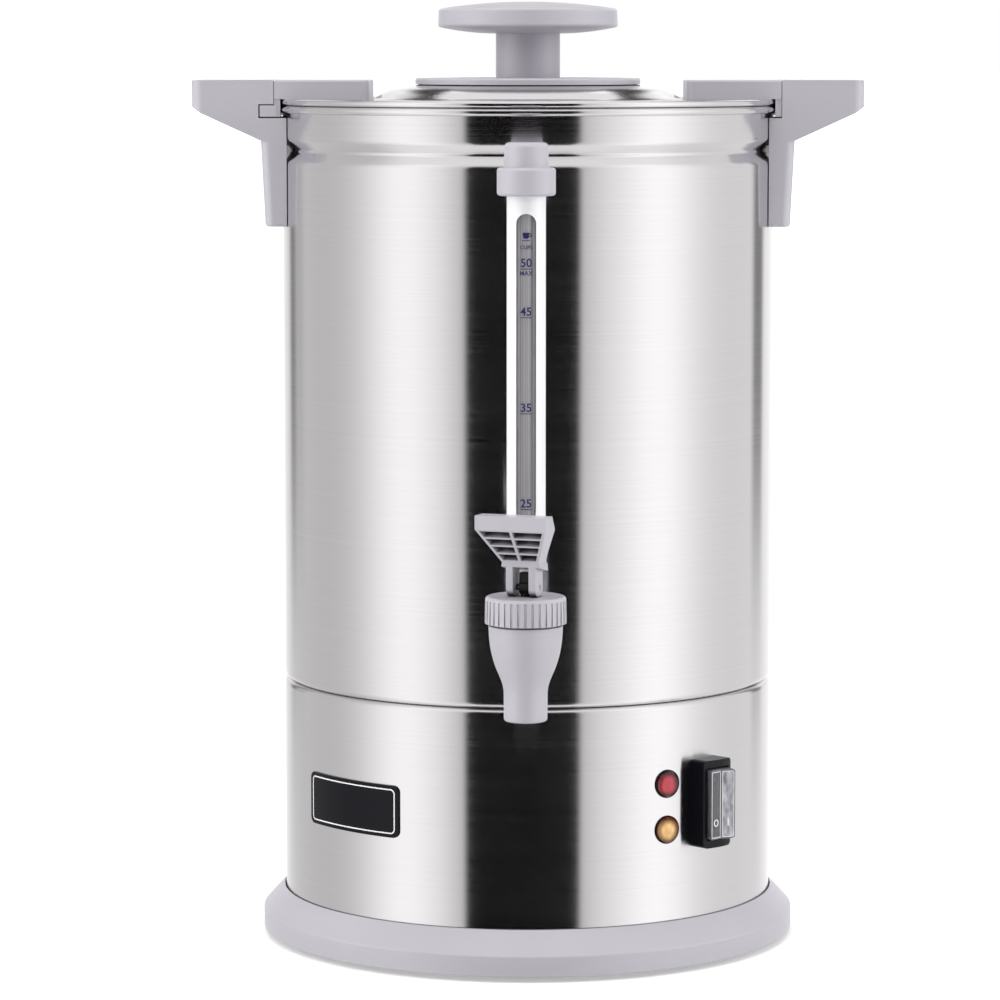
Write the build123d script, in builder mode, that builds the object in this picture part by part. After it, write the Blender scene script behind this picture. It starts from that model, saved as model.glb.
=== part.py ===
"""Coffee urn, 50 cups: a percolating boiler with a tap, a gauge glass and a twist-lock lid.

Millimetres, +Z up. The origin is the centre of the foot ring, on the level of its sole. The tap
faces -Y and the two handles lie along X. Each piece is written as one STEP file in parts/.
"""

from build123d import *
import math
import os

# ------------------------------------------------------------------ driving dimensions

# Clearances
RUNNING_GAP = 0.3  # between a piece that turns or slides and its guide
SEAT_GAP = 0.1  # between a moving piece and what it rests on
HOLE_GAP = 0.1  # all round a piece that is pushed through a hole
RING_GAP = 0.2  # between the skirt and the base ring
POCKET_GAP = 0.5  # all round a bracket in its moulded pocket
DRILL = 24.0  # length of a cut through one wall, half of it on each side

# Tank
TANK_RADIUS = 110.0
TANK_SHEET = 0.8
TANK_HEIGHT = 257.0
TANK_CORNER = 3.0
TANK_RIM = 3.4  # thickness of the rolled rim
TANK_RIM_OUT = 0.6  # how far the rolled rim's middle stands outside the wall
GROOVE_BELOW_RIM = 20.0
GROOVE_HEIGHT = 10.0
GROOVE_DEPTH = 3.4
GROOVE_ROUND = 2.2
GROOVE_EDGE_ROUND = 4.0
WELL_RADIUS = 26.0  # pump well in the middle of the floor
WELL_DEPTH = 6.0
WELL_SLOPE = 3.0
WELL_ROUND = 1.3

# Skirt: the lower shell round the heater
SKIRT_HEIGHT = 110.0
SKIRT_SHEET = 0.6
SKIRT_FLANGE = 9.0
SEAM_ROUND = 2.6  # rounding of the skirt's top edge

# Base ring, bottom plate and foot ring. Radial sizes start at the tank's wall
FOOT_PROUD = 2.5  # how far the rubber foot ring reaches below the base ring
FOOT_INSET = 5.5  # from the tank wall in to the middle of the rubber foot ring
FOOT_WIDTH = 10.0
FOOT_TAPER = 0.8  # how much each side leans in towards the floor
RING_OVERHANG = 10.2
RING_FACE = 9.0  # upright part of the ring's outer face
RING_HEIGHT = 19.0
RING_LIP = 0.7  # flat top of the ring's slope
RING_SHOULDER = 1.6  # rounding between face and slope
RING_WALL = 2.6
RING_LEDGE = 5.0  # height of the ledge that carries the skirt
RING_FLOOR = 20.0  # width of the ledge
RING_REBATE = 3.6  # height of the rebate that takes the bottom plate
COVER_SHEET = 1.2
COVER_LAP = 8.0  # how far the bottom plate laps under the ring
COVER_DISH = 4.5
COVER_FLAT = 4.0  # flat border inside the ring before the dish
COVER_SLOTS = 18
COVER_SLOT_LENGTH = 22.0
COVER_SLOT_WIDTH = 3.0
COVER_SLOT_INSET = 40.2

# Lid
LID_SHEET = 0.7
LID_RIM = 2.8
LID_RIM_OUT = 0.8  # how far the lid rim's middle stands outside the tank wall
LID_BRIM_PAST_EAR = 1.3  # the flat brim reaches this far inside the ears
LID_DOME_RISE = 6.4
LID_FLANK = 21.0  # from the dome's foot inward to its flat top
LID_SHOULDER_IN = 6.0  # from the dome's foot inward to its shoulder
LID_SHOULDER_DROP = 2.4
LID_SHOULDER_ROUND = 18.0
LID_TOP_ROUND = 22.0
LID_FOOT_ROUND = 4.0
LIP_DEPTH = 9.0
LIP_CLEARANCE = 0.9
LIP_FLANGE = 12.0
LIP_ROUND = 1.4
FLANGE_LAP = 2.5  # how far the flange disc overhangs the dome's flat top
FLANGE_THICKNESS = 2.8
FLANGE_ROUND = 1.0
KNOB_STEM_RADIUS = 14.4
KNOB_STEM_HEIGHT = 19.7
KNOB_RADIUS = 40.3
KNOB_UNDERCUT = 3.0
KNOB_BELLY = 0.8
KNOB_EDGE = 8.0
KNOB_DRAFT = 0.4
KNOB_ROUND = 1.4
KNOB_CROWN = 3.2
KNOB_SCREW_RADIUS = 1.7
KNOB_SCREW_BITE = 11.0
KNOB_SCREW_HEAD = 5.0
KNOB_SCREW_HEAD_HEIGHT = 2.6

# Handles and the lid's ears. Radial sizes start at the tank's wall
HANDLE_HALF_WIDTH = 27.5
HANDLE_REACH = 39.0
HANDLE_ABOVE_RIM = 11.2
HANDLE_TIP = 11.6
HANDLE_CHAMFER = 4.1
HANDLE_CHAMFER_DROP = 2.9
HANDLE_ROOT_DROP = 26.6  # from the handle's top to where its wing meets the leg
HANDLE_LEG_DROP = 64.8
HANDLE_LEG_TOP = 8.4
HANDLE_LEG_FOOT = 6.5
HANDLE_LEG_BACK = 8.0  # how far the solid leg is drawn inside the wall before the bore
HANDLE_WEB = 4.0  # overlap of leg and wing
HANDLE_CORNER = 5.0
HANDLE_FOOT_ROUND = 1.5
HANDLE_FIT = 0.3  # between the handle and the tank wall
KEEPER_DROP = 5.5  # from the tank's rim down to the shelf under the ear's tongue
KEEPER_HEIGHT = 6.1
KEEPER_GAP = 5.8  # from the tank wall to the handle's upper inner face
KEEPER_DEPTH = 6.5
KEEPER_END = 4.5  # the closed end of the keeper slot
BRACKET_WIDTH = 24.0
BRACKET_HEIGHT = 30.0
BRACKET_PROUD = 2.0
HANDLE_SCREW_RADIUS = 1.9
HANDLE_SCREW_SPACING = 17.0
HANDLE_SCREW_HEAD = 3.8
HANDLE_SCREW_HEAD_HEIGHT = 1.8
HANDLE_SCREW_SINK = 1.6  # head's seat below the leg's outer face
EAR_LENGTH = 39.7  # from the tank wall inward
EAR_HOOK = 2.7
EAR_TONGUE_HEIGHT = 5.0
EAR_TONGUE_RISE = 0.6  # the tongue's clearance over the shelf
EAR_CORNER = 3.5
HOOK_SETBACK = 0.5  # the hook and tongue are this much narrower than the ear, each side
EAR_ROUND = 0.8
RIVET_INSET = 22.0
RIVET_SPACING = 28.0
RIVET_RADIUS = 1.6
RIVET_LENGTH = 4.8
RIVET_HEAD = 1.2

# Percolator
STEM_RADIUS = 6.0
STEM_WALL = 0.8
STEM_COLLAR = 2.2
STEM_COLLAR_HEIGHT = 1.6
STEM_ABOVE_BASKET = 14.0
STEM_FOOT_RADIUS = 22.0
STEM_FOOT_EDGE = 2.2
STEM_FOOT_RISE = 7.4
STEM_NOTCH_WIDTH = 5.0
STEM_NOTCH_HEIGHT = 1.2
BASKET_RADIUS = 78.0
BASKET_TAPER = 3.0
BASKET_SHEET = 0.8
BASKET_HEIGHT = 66.0
BASKET_RISE = 134.0  # basket floor above the tank floor
BASKET_BEAD = 1.3
BASKET_SLEEVE_GAP = 0.15
BASKET_HOLE = 1.7
BASKET_HOLE_RINGS = 3
BASKET_HOLE_FIRST = 26.0  # radius of the innermost ring of holes
BASKET_HOLE_STEP = 18.0
BASKET_HOLE_COUNT = 8  # holes in the innermost ring
BASKET_HOLE_MORE = 4  # holes that each further ring adds
SPREADER_SINK = 7.0
SPREADER_WALL = 8.7
SPREADER_NECK = 6.4
SPREADER_BORE_GAP = 1.0
SPREADER_NECK_FOOT = 10.0  # where the neck meets the flat, outside the percolator's tube
PUMP_WASHER_RADIUS = 10.0
PUMP_WASHER_HOLE = 1.5
PUMP_WASHER_THICKNESS = 1.0

# Tap and gauge
SHANK_RISE = 34.0  # shank axis above the seam
SHANK_RADIUS = 8.0
SHANK_BORE = 5.0
SHANK_FLANGE = 13.0
SHANK_FLANGE_THICKNESS = 3.5
SHANK_BOSS = 1.8  # how much wider the boss behind the tap is than the thread
SHANK_COLLAR_STEP = 1.0  # from the gauge port to the tap's collar
SHANK_INTO_CHAMBER = 0.4
SHANK_TAIL = 9.0  # how far the shank reaches in past the nut's seat
SHANK_NUT_HALF_WIDTH = 12.5
SHANK_NUT_THICKNESS = 6.0
WASHER_THICKNESS = 1.6
WASHER_SETBACK = 1.0  # washers are this much smaller in radius than the flange
WASHER_CROWN = 0.6  # extra thickness that a washer needs on the curved wall
GAUGE_REACH = 20.0  # gauge axis in front of the tank wall
TAP_REACH = 47.0  # tap axis in front of the tank wall
PORT_RADIUS = 7.0
PORT_RISE = 41.0  # top of the gauge port above the shank axis
GLASS_RADIUS = 6.0
GLASS_WALL = 1.2
GLASS_LENGTH = 176.0
GLASS_SOCKET = 14.0  # how deep the glass stands in the port
SEAL_HEIGHT = 2.5
SEAL_STEP = 0.6  # how far a seal reaches in past the glass wall
GUARD_RADIUS = 8.25
GUARD_LAP = 8.0
GUARD_FIT = 0.05
GUARD_GLASS_GAP = 0.4
GUARD_BELOW_GLASS = 6.0  # guard's top below the glass's
WINDOW_WIDTH = 8.3
WINDOW_LOW_RISE = 50.0
WINDOW_BELOW_GUARD = 17.5  # window's top below the guard's
CAP_RADIUS = 12.35
CAP_COLLAR = 11.8
CAP_COLLAR_ROUND = 1.4
CAP_PLUG_RADIUS = 9.5
CAP_PLUG = 10.5
CAP_PLUG_ROUND = 2.2
CAP_PLUG_TAPER = 2.0  # degrees
CAP_LAP = 10.2
CAP_VENT = 1.0
TAP_SHOULDER = 15.5
TAP_SHOULDER_RISE = 9.0
TAP_WAIST = 12.1
TAP_WAIST_DROP = 18.8
TAP_SPOUT_RADIUS = 9.1
TAP_SPOUT_FLARE = 0.1
TAP_SPOUT_ROUND = 1.2
TAP_SPOUT_DROP = 31.3
TAP_SPOUT_LENGTH = 12.6
TAP_BORE = 6.2
TAP_CHAMBER = 11.5
TAP_NECK_WALL = 1.9
TAP_SEAT_DROP = 6.0
TAP_SEAT_THICKNESS = 3.0
TAP_ORIFICE = 5.5
BONNET_RADIUS = 17.1
BONNET_HEIGHT = 11.3
BONNET_STEP = 1.0  # shadow gap between the body's shoulder and the bonnet
BONNET_ROOF = 2.5
BONNET_ROUND = 1.4
BONNET_TAPER = 1.2  # degrees
BONNET_GROOVE_COUNT = 36
BONNET_GROOVE_DEPTH = 0.5
BONNET_GROOVE_WIDTH = 0.9
BONNET_SMOOTH_TOP = 1.6  # height of the plain band above the grooves
VALVE_STEM_RADIUS = 2.2
VALVE_STEM_COLLAR = 2.0
VALVE_STEM_COLLAR_HEIGHT = 1.2
VALVE_EYE_THICKNESS = 4.0
VALVE_HEAD_HEIGHT = 6.5  # top of the stem's head above the pin
VALVE_HEAD_RADIUS = 2.1
VALVE_HEAD_ROUND = 0.6
VALVE_EYE_SETBACK = 0.5  # how much smaller the stem's eye is than the lever's heel
SEAT_CUP_RADIUS = 8.0
SEAT_CUP_HEIGHT = 5.0
SEAT_CUP_SKIRT = 2.4
SEAT_CUP_HOLLOW = 0.8
SEAT_CUP_ROUND = 0.6
SPRING_RADIUS = 5.2
SPRING_WIRE = 0.9
SPRING_TURNS = 4

# Tap lever
LEVER_TURN = 20.0  # degrees that the lever is turned from the front, clockwise from above
LEVER_PIN_RADIUS = 1.25
LEVER_PIN_FIT = 0.04
LEVER_HEEL = 3.6  # radius of the cam heel
LEVER_CAM = 2.6  # how far the heel's centre lies in front of the pin
LEVER_LEG = 3.1
LEVER_GAP = 6.9
LEVER_LEG_BACK = 2.4
LEVER_LEG_HEIGHT = 12.0
LEVER_WIDTH = 31.2
LEVER_LOW_WIDTH = 16.4
LEVER_FOOT_WIDTH = 18.4
LEVER_REACH = 19.0
LEVER_LIP = 5.8
LEVER_HEIGHT = 31.4  # top of the lip above the pin
LEVER_SLOPE_FOOT = 11.0
LEVER_SLOPE_START = 6.7  # where the sloping face starts, in front of the pin
LEVER_FOOT_DROP = 5.0  # the paddle's lower edge below the slope's foot
LEVER_THICKNESS = 6.5
LEVER_POCKET_COUNT = 4  # in each of the two columns
LEVER_RIB = 1.0
LEVER_MID_RIB = 1.4
LEVER_RIM = 1.4  # wall left outside the pockets
LEVER_POCKET = 4.6

# Heater. Its circles step inward from the bottom plate's border
STUD_RADIUS = 2.5
STUD_INSET = 10.2
STUD_COUNT = 3
STUD_PAST_NUT = 5.0
TIE_NUT_HALF_WIDTH = 4.0
TIE_NUT_THICKNESS = 4.0
PLATE_INSET = 4.0
PLATE_BORE_GAP = 4.0  # from the tank's well to the plate's bore
PLATE_THICKNESS = 6.0
PLATE_STUD_INSET = 6.5
PLATE_STUD_RADIUS = 2.0
PLATE_STUD_PROUD = 6.0
PLATE_NUT_HALF_WIDTH = 3.5
PLATE_NUT_THICKNESS = 3.2
BOIL_INSET = 16.0
ELEMENT_SPACING = 8.7
BOIL_ELEMENT_RADIUS = 3.4
WARM_ELEMENT_RADIUS = 2.6
ELEMENT_SWEEP = 310.0
ELEMENT_TAIL = 16.0
ELEMENT_TAIL_WALL = 0.6
ELEMENT_TAIL_SINK = 0.3
THERMOSTAT_RADIUS = 9.5
THERMOSTAT_CUP = 4.0
THERMOSTAT_BODY_STEP = 1.5
THERMOSTAT_HEIGHT = 12.0
THERMOSTAT_OFFSET = 12.5
BLADE_WIDTH = 6.3
BLADE_THICKNESS = 0.8
BLADE_LENGTH = 9.0
BLADE_SPREAD = 11.0
STRAP_HALF_WIDTH = 5.0
STRAP_LANDING = 6.5  # how far the strap reaches past the plate's bore
STRAP_FOOT = 8.0
STRAP_SLOPE = 7.0
STRAP_SHEET = 1.2
STRAP_SCREW_RADIUS = 2.8
STRAP_SCREW_HEIGHT = 1.8
FUSE_RADIUS = 2.6
FUSE_LENGTH = 16.0
FUSE_LEAD_RADIUS = 0.6
FUSE_LEAD_LENGTH = 10.0
BLOCK_LENGTH = 34.0
BLOCK_WIDTH = 16.0
BLOCK_HEIGHT = 14.0
BLOCK_WAY_COUNT = 3
BLOCK_WAY_SPACING = 10.0
BLOCK_WAY_RADIUS = 2.6
BLOCK_WAY_DEPTH = 6.0

# Switch, lamps, name plate and cord gland. Heights start at the skirt's foot
SWITCH_ANGLE = 45.0
SWITCH_HEIGHT = 64.7
SWITCH_WIDTH = 17.2
SWITCH_TALL = 38.7
SWITCH_PROUD = 8.8
SWITCH_CROWN = 1.2  # how far the frame's middle stands out past its long edges
SWITCH_CORNER = 2.0
SWITCH_DEPTH = 20.0
SWITCH_BACK = 1.0  # thickness of the wall behind the rocker, outside the skirt
SWITCH_WINDOW_WIDTH = 13.4
SWITCH_WINDOW_TALL = 32.0
SWITCH_CUTOUT_GAP = 0.3
SWITCH_TAB_COUNT = 3
SWITCH_TAB_SPACING = 9.0
ROCKER_SWING = 28.0
ROCKER_GAP = 0.5
ROCKER_VALLEY = 3.0  # middle of the rocker's face above its axis
ROCKER_AXIS_SINK = 0.9  # axis below the frame's front
ROCKER_SKIRT = 1.0  # the rocker's sides below its axis
ROCKER_ROOT = 4.5
ROCKER_ROOT_HALF_WIDTH = 2.5
CAP_WALL = 0.8  # clear cap over the rocker
CAP_EDGE = 0.8
LAMP_ANGLE = 33.75
LAMP_HEIGHTS = (74.6, 54.4)
LAMP_RADIUS = 6.2
LAMP_BEZEL_PROUD = 0.7
LENS_RADIUS = 5.6
LENS_PROUD = 2.6
LENS_CROWN = 1.6
LENS_TAPER = 30.0  # degrees
LENS_ROUND = 1.2
LENS_FIT = 0.05
LENS_INSIDE = 4.0
LAMP_BODY_LENGTH = 14.0
LAMP_TAB_SPACING = 5.0
LAMP_TAB_WIDTH = 4.0
LAMP_TAB_THICKNESS = 0.6
LAMP_TAB_LENGTH = 6.0
PLATE_ANGLE = 44.85
NAME_PLATE_WIDTH = 56.6
NAME_PLATE_HEIGHT = 23.0
NAME_PLATE_RISE = 62.5
NAME_PLATE_SHEET = 0.8
NAME_PLATE_CORNER = 3.0
GLAND_HEIGHT = 30.0
GLAND_BORE = 3.8
GLAND_RADIUS = 6.5
GLAND_PROUD = 9.0
GLAND_TAPER = 8.0  # degrees
GLAND_FLANGE = 3.0
GLAND_FLANGE_THICKNESS = 2.4
GLAND_INSIDE = 10.0
GLAND_NUT_HALF_WIDTH = 9.5
GLAND_NUT_THICKNESS = 4.0

# ------------------------------------------------------------------ levels and places

ring_z = FOOT_PROUD
ledge_z = ring_z + RING_LEDGE
seam_z = ledge_z + SKIRT_HEIGHT
rim_z = seam_z + TANK_HEIGHT
floor_z = seam_z + TANK_SHEET  # the tank floor's upper face
well_z = seam_z - WELL_DEPTH + TANK_SHEET
brim_z = rim_z + SEAT_GAP + LID_RIM
lid_top_z = brim_z + LID_DOME_RISE
handle_top_z = rim_z + HANDLE_ABOVE_RIM
shank_z = seam_z + SHANK_RISE
tap_y = -(TANK_RADIUS + TAP_REACH)
gauge_y = -(TANK_RADIUS + GAUGE_REACH)
bonnet_z = shank_z + TAP_SHOULDER_RISE + BONNET_STEP
bonnet_top_z = bonnet_z + BONNET_HEIGHT
pin_z = bonnet_top_z + SEAT_GAP + LEVER_HEEL
seat_z = shank_z - TAP_SEAT_DROP
plate_z = seam_z - PLATE_THICKNESS
inside_radius = TANK_RADIUS - TANK_SHEET
drill_radius = TANK_RADIUS - DRILL / 2



def wall_plane(angle, height, radius):
    """Plane on the shell's surface: local x to the right, y up, z outward.

    Args:
        angle: degrees to the right of the front.
        height: millimetres above the floor.
        radius: distance from the urn's axis.
    """
    turn = math.radians(angle)
    outward = Vector(math.sin(turn), -math.cos(turn), 0)
    right = Vector(math.cos(turn), math.sin(turn), 0)
    origin = outward * radius + Vector(0, 0, height)
    return Plane(origin=origin, x_dir=right, z_dir=outward)


# Upright plane through the tap's axis: local x is the way the lever faces, local y is up
lever_turn = math.radians(LEVER_TURN)
lever_side = Plane(
    origin=(0, tap_y, 0),
    x_dir=(-math.sin(lever_turn), -math.cos(lever_turn), 0),
    z_dir=(-math.cos(lever_turn), math.sin(lever_turn), 0),
)

os.makedirs("parts", exist_ok=True)


def finish(built, name):
    """Label a finished piece and write its STEP file."""
    built.part.label = name
    export_step(built.part, f"parts/{name}.step")


# ------------------------------------------------------------------ base

# The ring is a moulded channel: outer wall, sloping roof, inner wall and a floor flange
ring_radius = TANK_RADIUS + RING_OVERHANG
ring_inner = TANK_RADIUS + RING_GAP
ring_floor = ring_inner - RING_FLOOR
ring_top = ring_z + RING_HEIGHT
foot_circle = TANK_RADIUS - FOOT_INSET
cover_radius = ring_floor + COVER_LAP
cover_top = ring_z + RING_REBATE
rebate_radius = cover_radius + RUNNING_GAP
channel_z = ledge_z - RING_WALL
roof_drop = RING_WALL * (RING_HEIGHT - RING_FACE) / RING_OVERHANG  # roof wall measured upright

with BuildPart() as base_ring:
    with BuildSketch(Plane.XZ) as ring_profile:
        with BuildLine():
            Polyline(
                (ring_radius, ring_z),
                (ring_radius, ring_z + RING_FACE),
                (ring_inner + RING_LIP, ring_top),
                (ring_inner, ring_top),
                (ring_inner, ledge_z),
                (ring_floor, ledge_z),
                (ring_floor, cover_top),
                (rebate_radius, cover_top),
                (rebate_radius, channel_z),
                (ring_inner + RING_WALL, channel_z),
                (ring_inner + RING_WALL, ring_top - RING_WALL - roof_drop),
                (ring_radius - RING_WALL, ring_z + RING_FACE - RING_WALL / 2),
                (ring_radius - RING_WALL, ring_z),
                close=True,
            )
        make_face()
        shoulder = (ring_radius, ring_z + RING_FACE)
        fillet(ring_profile.vertices().sort_by_distance(shoulder)[0], radius=RING_SHOULDER)
    revolve(axis=Axis.Z)
finish(base_ring, "base_ring")

dish_z = cover_top + COVER_DISH
flat_radius = ring_floor - COVER_FLAT
stud_circle = ring_floor - STUD_INSET
with BuildPart() as bottom_cover:
    with BuildSketch(Plane.XZ):
        with BuildLine():
            Polyline(
                (0, dish_z - COVER_SHEET / 2),
                (flat_radius, dish_z - COVER_SHEET / 2),
                (ring_floor - COVER_SHEET, cover_top - COVER_SHEET / 2),
                (cover_radius, cover_top - COVER_SHEET / 2),
            )
        trace(line_width=COVER_SHEET)
    revolve(axis=Axis.Z)
    with BuildSketch(Plane.XY.offset(cover_top)):
        with PolarLocations(ring_floor - COVER_SLOT_INSET, COVER_SLOTS):
            SlotOverall(COVER_SLOT_LENGTH, COVER_SLOT_WIDTH)
        with PolarLocations(stud_circle, STUD_COUNT, start_angle=30):
            Circle(STUD_RADIUS + 2 * HOLE_GAP)
    extrude(amount=COVER_DISH + COVER_SHEET, mode=Mode.SUBTRACT)
finish(bottom_cover, "bottom_cover")

# A rubber ring under the ledge is the face that the urn stands on
with BuildPart() as foot_ring:
    with BuildSketch(Plane.XZ):
        with BuildLine():
            Polyline(
                (foot_circle - FOOT_WIDTH / 2, channel_z),
                (foot_circle + FOOT_WIDTH / 2, channel_z),
                (foot_circle + FOOT_WIDTH / 2 - FOOT_TAPER, 0),
                (foot_circle - FOOT_WIDTH / 2 + FOOT_TAPER, 0),
                close=True,
            )
        make_face()
    revolve(axis=Axis.Z)
finish(foot_ring, "foot_ring")

# Tie studs are welded under the tank and draw the bottom plate, ring and skirt together
nut_z = dish_z - COVER_SHEET
plate_radius = stud_circle - PLATE_INSET
plate_stud_circle = plate_radius - PLATE_STUD_INSET
with BuildPart() as tank_studs:
    with BuildSketch(Plane.XY.offset(seam_z)):
        with PolarLocations(stud_circle, STUD_COUNT, start_angle=30):
            Circle(STUD_RADIUS)
    extrude(amount=-(seam_z - nut_z + STUD_PAST_NUT))
    with BuildSketch(Plane.XY.offset(seam_z)):
        with PolarLocations(plate_stud_circle, STUD_COUNT, start_angle=90):
            Circle(PLATE_STUD_RADIUS)
    extrude(amount=-(PLATE_THICKNESS + PLATE_STUD_PROUD))
finish(tank_studs, "tank_studs")

with BuildPart() as tie_nuts:
    with BuildSketch(Plane.XY.offset(nut_z)):
        with PolarLocations(stud_circle, STUD_COUNT, start_angle=30):
            RegularPolygon(TIE_NUT_HALF_WIDTH, 6, major_radius=False)
            Circle(STUD_RADIUS, mode=Mode.SUBTRACT)
    extrude(amount=-TIE_NUT_THICKNESS)
finish(tie_nuts, "tie_nuts")

# ------------------------------------------------------------------ skirt

switch_z = ledge_z + SWITCH_HEIGHT
gland_z = ledge_z + GLAND_HEIGHT

with BuildPart() as base_skirt:
    with BuildSketch(Plane.XZ):
        with BuildLine():
            FilletPolyline(
                (TANK_RADIUS - SKIRT_SHEET / 2, ledge_z),
                (TANK_RADIUS - SKIRT_SHEET / 2, seam_z - SKIRT_SHEET / 2),
                (TANK_RADIUS - SKIRT_FLANGE, seam_z - SKIRT_SHEET / 2),
                radius=SEAM_ROUND,
            )
        trace(line_width=SKIRT_SHEET)
    revolve(axis=Axis.Z)
    with BuildSketch(wall_plane(SWITCH_ANGLE, switch_z, drill_radius)):
        Rectangle(
            SWITCH_WINDOW_WIDTH + 2 * SWITCH_CUTOUT_GAP,
            SWITCH_WINDOW_TALL + 2 * SWITCH_CUTOUT_GAP,
        )
    extrude(amount=DRILL, mode=Mode.SUBTRACT)
    for lamp_rise in LAMP_HEIGHTS:
        with BuildSketch(wall_plane(LAMP_ANGLE, ledge_z + lamp_rise, drill_radius)):
            Circle(LENS_RADIUS + HOLE_GAP)
        extrude(amount=DRILL, mode=Mode.SUBTRACT)
    with BuildSketch(wall_plane(180, gland_z, drill_radius)):
        Circle(GLAND_RADIUS + HOLE_GAP)
    extrude(amount=DRILL, mode=Mode.SUBTRACT)
finish(base_skirt, "base_skirt")

# ------------------------------------------------------------------ tank

groove_z = rim_z - GROOVE_BELOW_RIM
mid_wall = TANK_RADIUS - TANK_SHEET / 2
bead_r = TANK_RADIUS + TANK_RIM_OUT
bead_z = rim_z - TANK_RIM / 2

with BuildPart() as tank:
    with BuildSketch(Plane.XZ):
        with BuildLine():
            FilletPolyline(
                (0, well_z - TANK_SHEET / 2),
                (WELL_RADIUS, well_z - TANK_SHEET / 2),
                (WELL_RADIUS + WELL_SLOPE, floor_z - TANK_SHEET / 2),
                (mid_wall, floor_z - TANK_SHEET / 2),
                (mid_wall, groove_z - GROOVE_HEIGHT / 2),
                (mid_wall - GROOVE_DEPTH, groove_z),
                (mid_wall, groove_z + GROOVE_HEIGHT / 2),
                (mid_wall, bead_z),
                radius=(
                    WELL_ROUND,
                    WELL_ROUND,
                    TANK_CORNER - TANK_SHEET / 2,
                    GROOVE_EDGE_ROUND,
                    GROOVE_ROUND,
                    GROOVE_EDGE_ROUND,
                ),
            )
        trace(line_width=TANK_SHEET)
    revolve(axis=Axis.Z)
    with BuildSketch(Plane.XZ):
        with Locations((bead_r, bead_z)):
            Circle(TANK_RIM / 2)
    revolve(axis=Axis.Z)
    with BuildSketch(wall_plane(0, shank_z, drill_radius)):
        Circle(SHANK_RADIUS + HOLE_GAP)
    extrude(amount=DRILL, mode=Mode.SUBTRACT)
finish(tank, "tank")

# ------------------------------------------------------------------ lid

lid_bead_r = TANK_RADIUS + LID_RIM_OUT
lid_bead_z = rim_z + SEAT_GAP + LID_RIM / 2
brim_mid = brim_z - LID_SHEET / 2
dome_mid = brim_mid + LID_DOME_RISE
lid_foot_r = TANK_RADIUS - EAR_LENGTH - LID_BRIM_PAST_EAR
lid_top_r = lid_foot_r - LID_FLANK
rivet_r = TANK_RADIUS - RIVET_INSET

with BuildPart() as lid_dome:
    with BuildSketch(Plane.XZ):
        with BuildLine():
            FilletPolyline(
                (0, dome_mid),
                (lid_top_r, dome_mid),
                (lid_foot_r - LID_SHOULDER_IN, dome_mid - LID_SHOULDER_DROP),
                (lid_foot_r, brim_mid),
                (lid_bead_r, brim_mid),
                radius=(LID_TOP_ROUND, LID_SHOULDER_ROUND, LID_FOOT_ROUND),
            )
        trace(line_width=LID_SHEET)
    revolve(axis=Axis.Z)
    with BuildSketch(Plane.XZ):
        with Locations((lid_bead_r, lid_bead_z)):
            Circle(LID_RIM / 2)
    revolve(axis=Axis.Z)
    with Locations((0, 0, lid_top_z)):
        Hole(KNOB_SCREW_RADIUS, depth=2 * LID_SHEET)
    with BuildSketch(Plane.XY.offset(brim_z)):
        with GridLocations(2 * rivet_r, RIVET_SPACING, 2, 2):
            Circle(RIVET_RADIUS)
    extrude(amount=-2 * LID_SHEET, mode=Mode.SUBTRACT)
finish(lid_dome, "lid_dome")

lip_radius = inside_radius - LIP_CLEARANCE
lip_top = brim_z - LID_SHEET
with BuildPart() as lid_lip:
    with BuildSketch(Plane.XZ):
        with BuildLine():
            FilletPolyline(
                (lip_radius - LIP_FLANGE, lip_top - LID_SHEET / 2),
                (lip_radius - LID_SHEET / 2, lip_top - LID_SHEET / 2),
                (lip_radius - LID_SHEET / 2, lip_top - LIP_DEPTH),
                radius=LIP_ROUND,
            )
        trace(line_width=LID_SHEET)
    revolve(axis=Axis.Z)
finish(lid_lip, "lid_lip")

flange_top = lid_top_z + FLANGE_THICKNESS
with BuildPart() as lid_flange:
    with BuildSketch(Plane.XY.offset(lid_top_z)):
        Circle(lid_top_r + FLANGE_LAP)
    extrude(amount=FLANGE_THICKNESS)
    fillet(lid_flange.edges().group_by(Axis.Z)[-1], radius=FLANGE_ROUND)
    with Locations((0, 0, flange_top)):
        Hole(KNOB_SCREW_RADIUS, depth=FLANGE_THICKNESS)
finish(lid_flange, "lid_flange")

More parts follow.
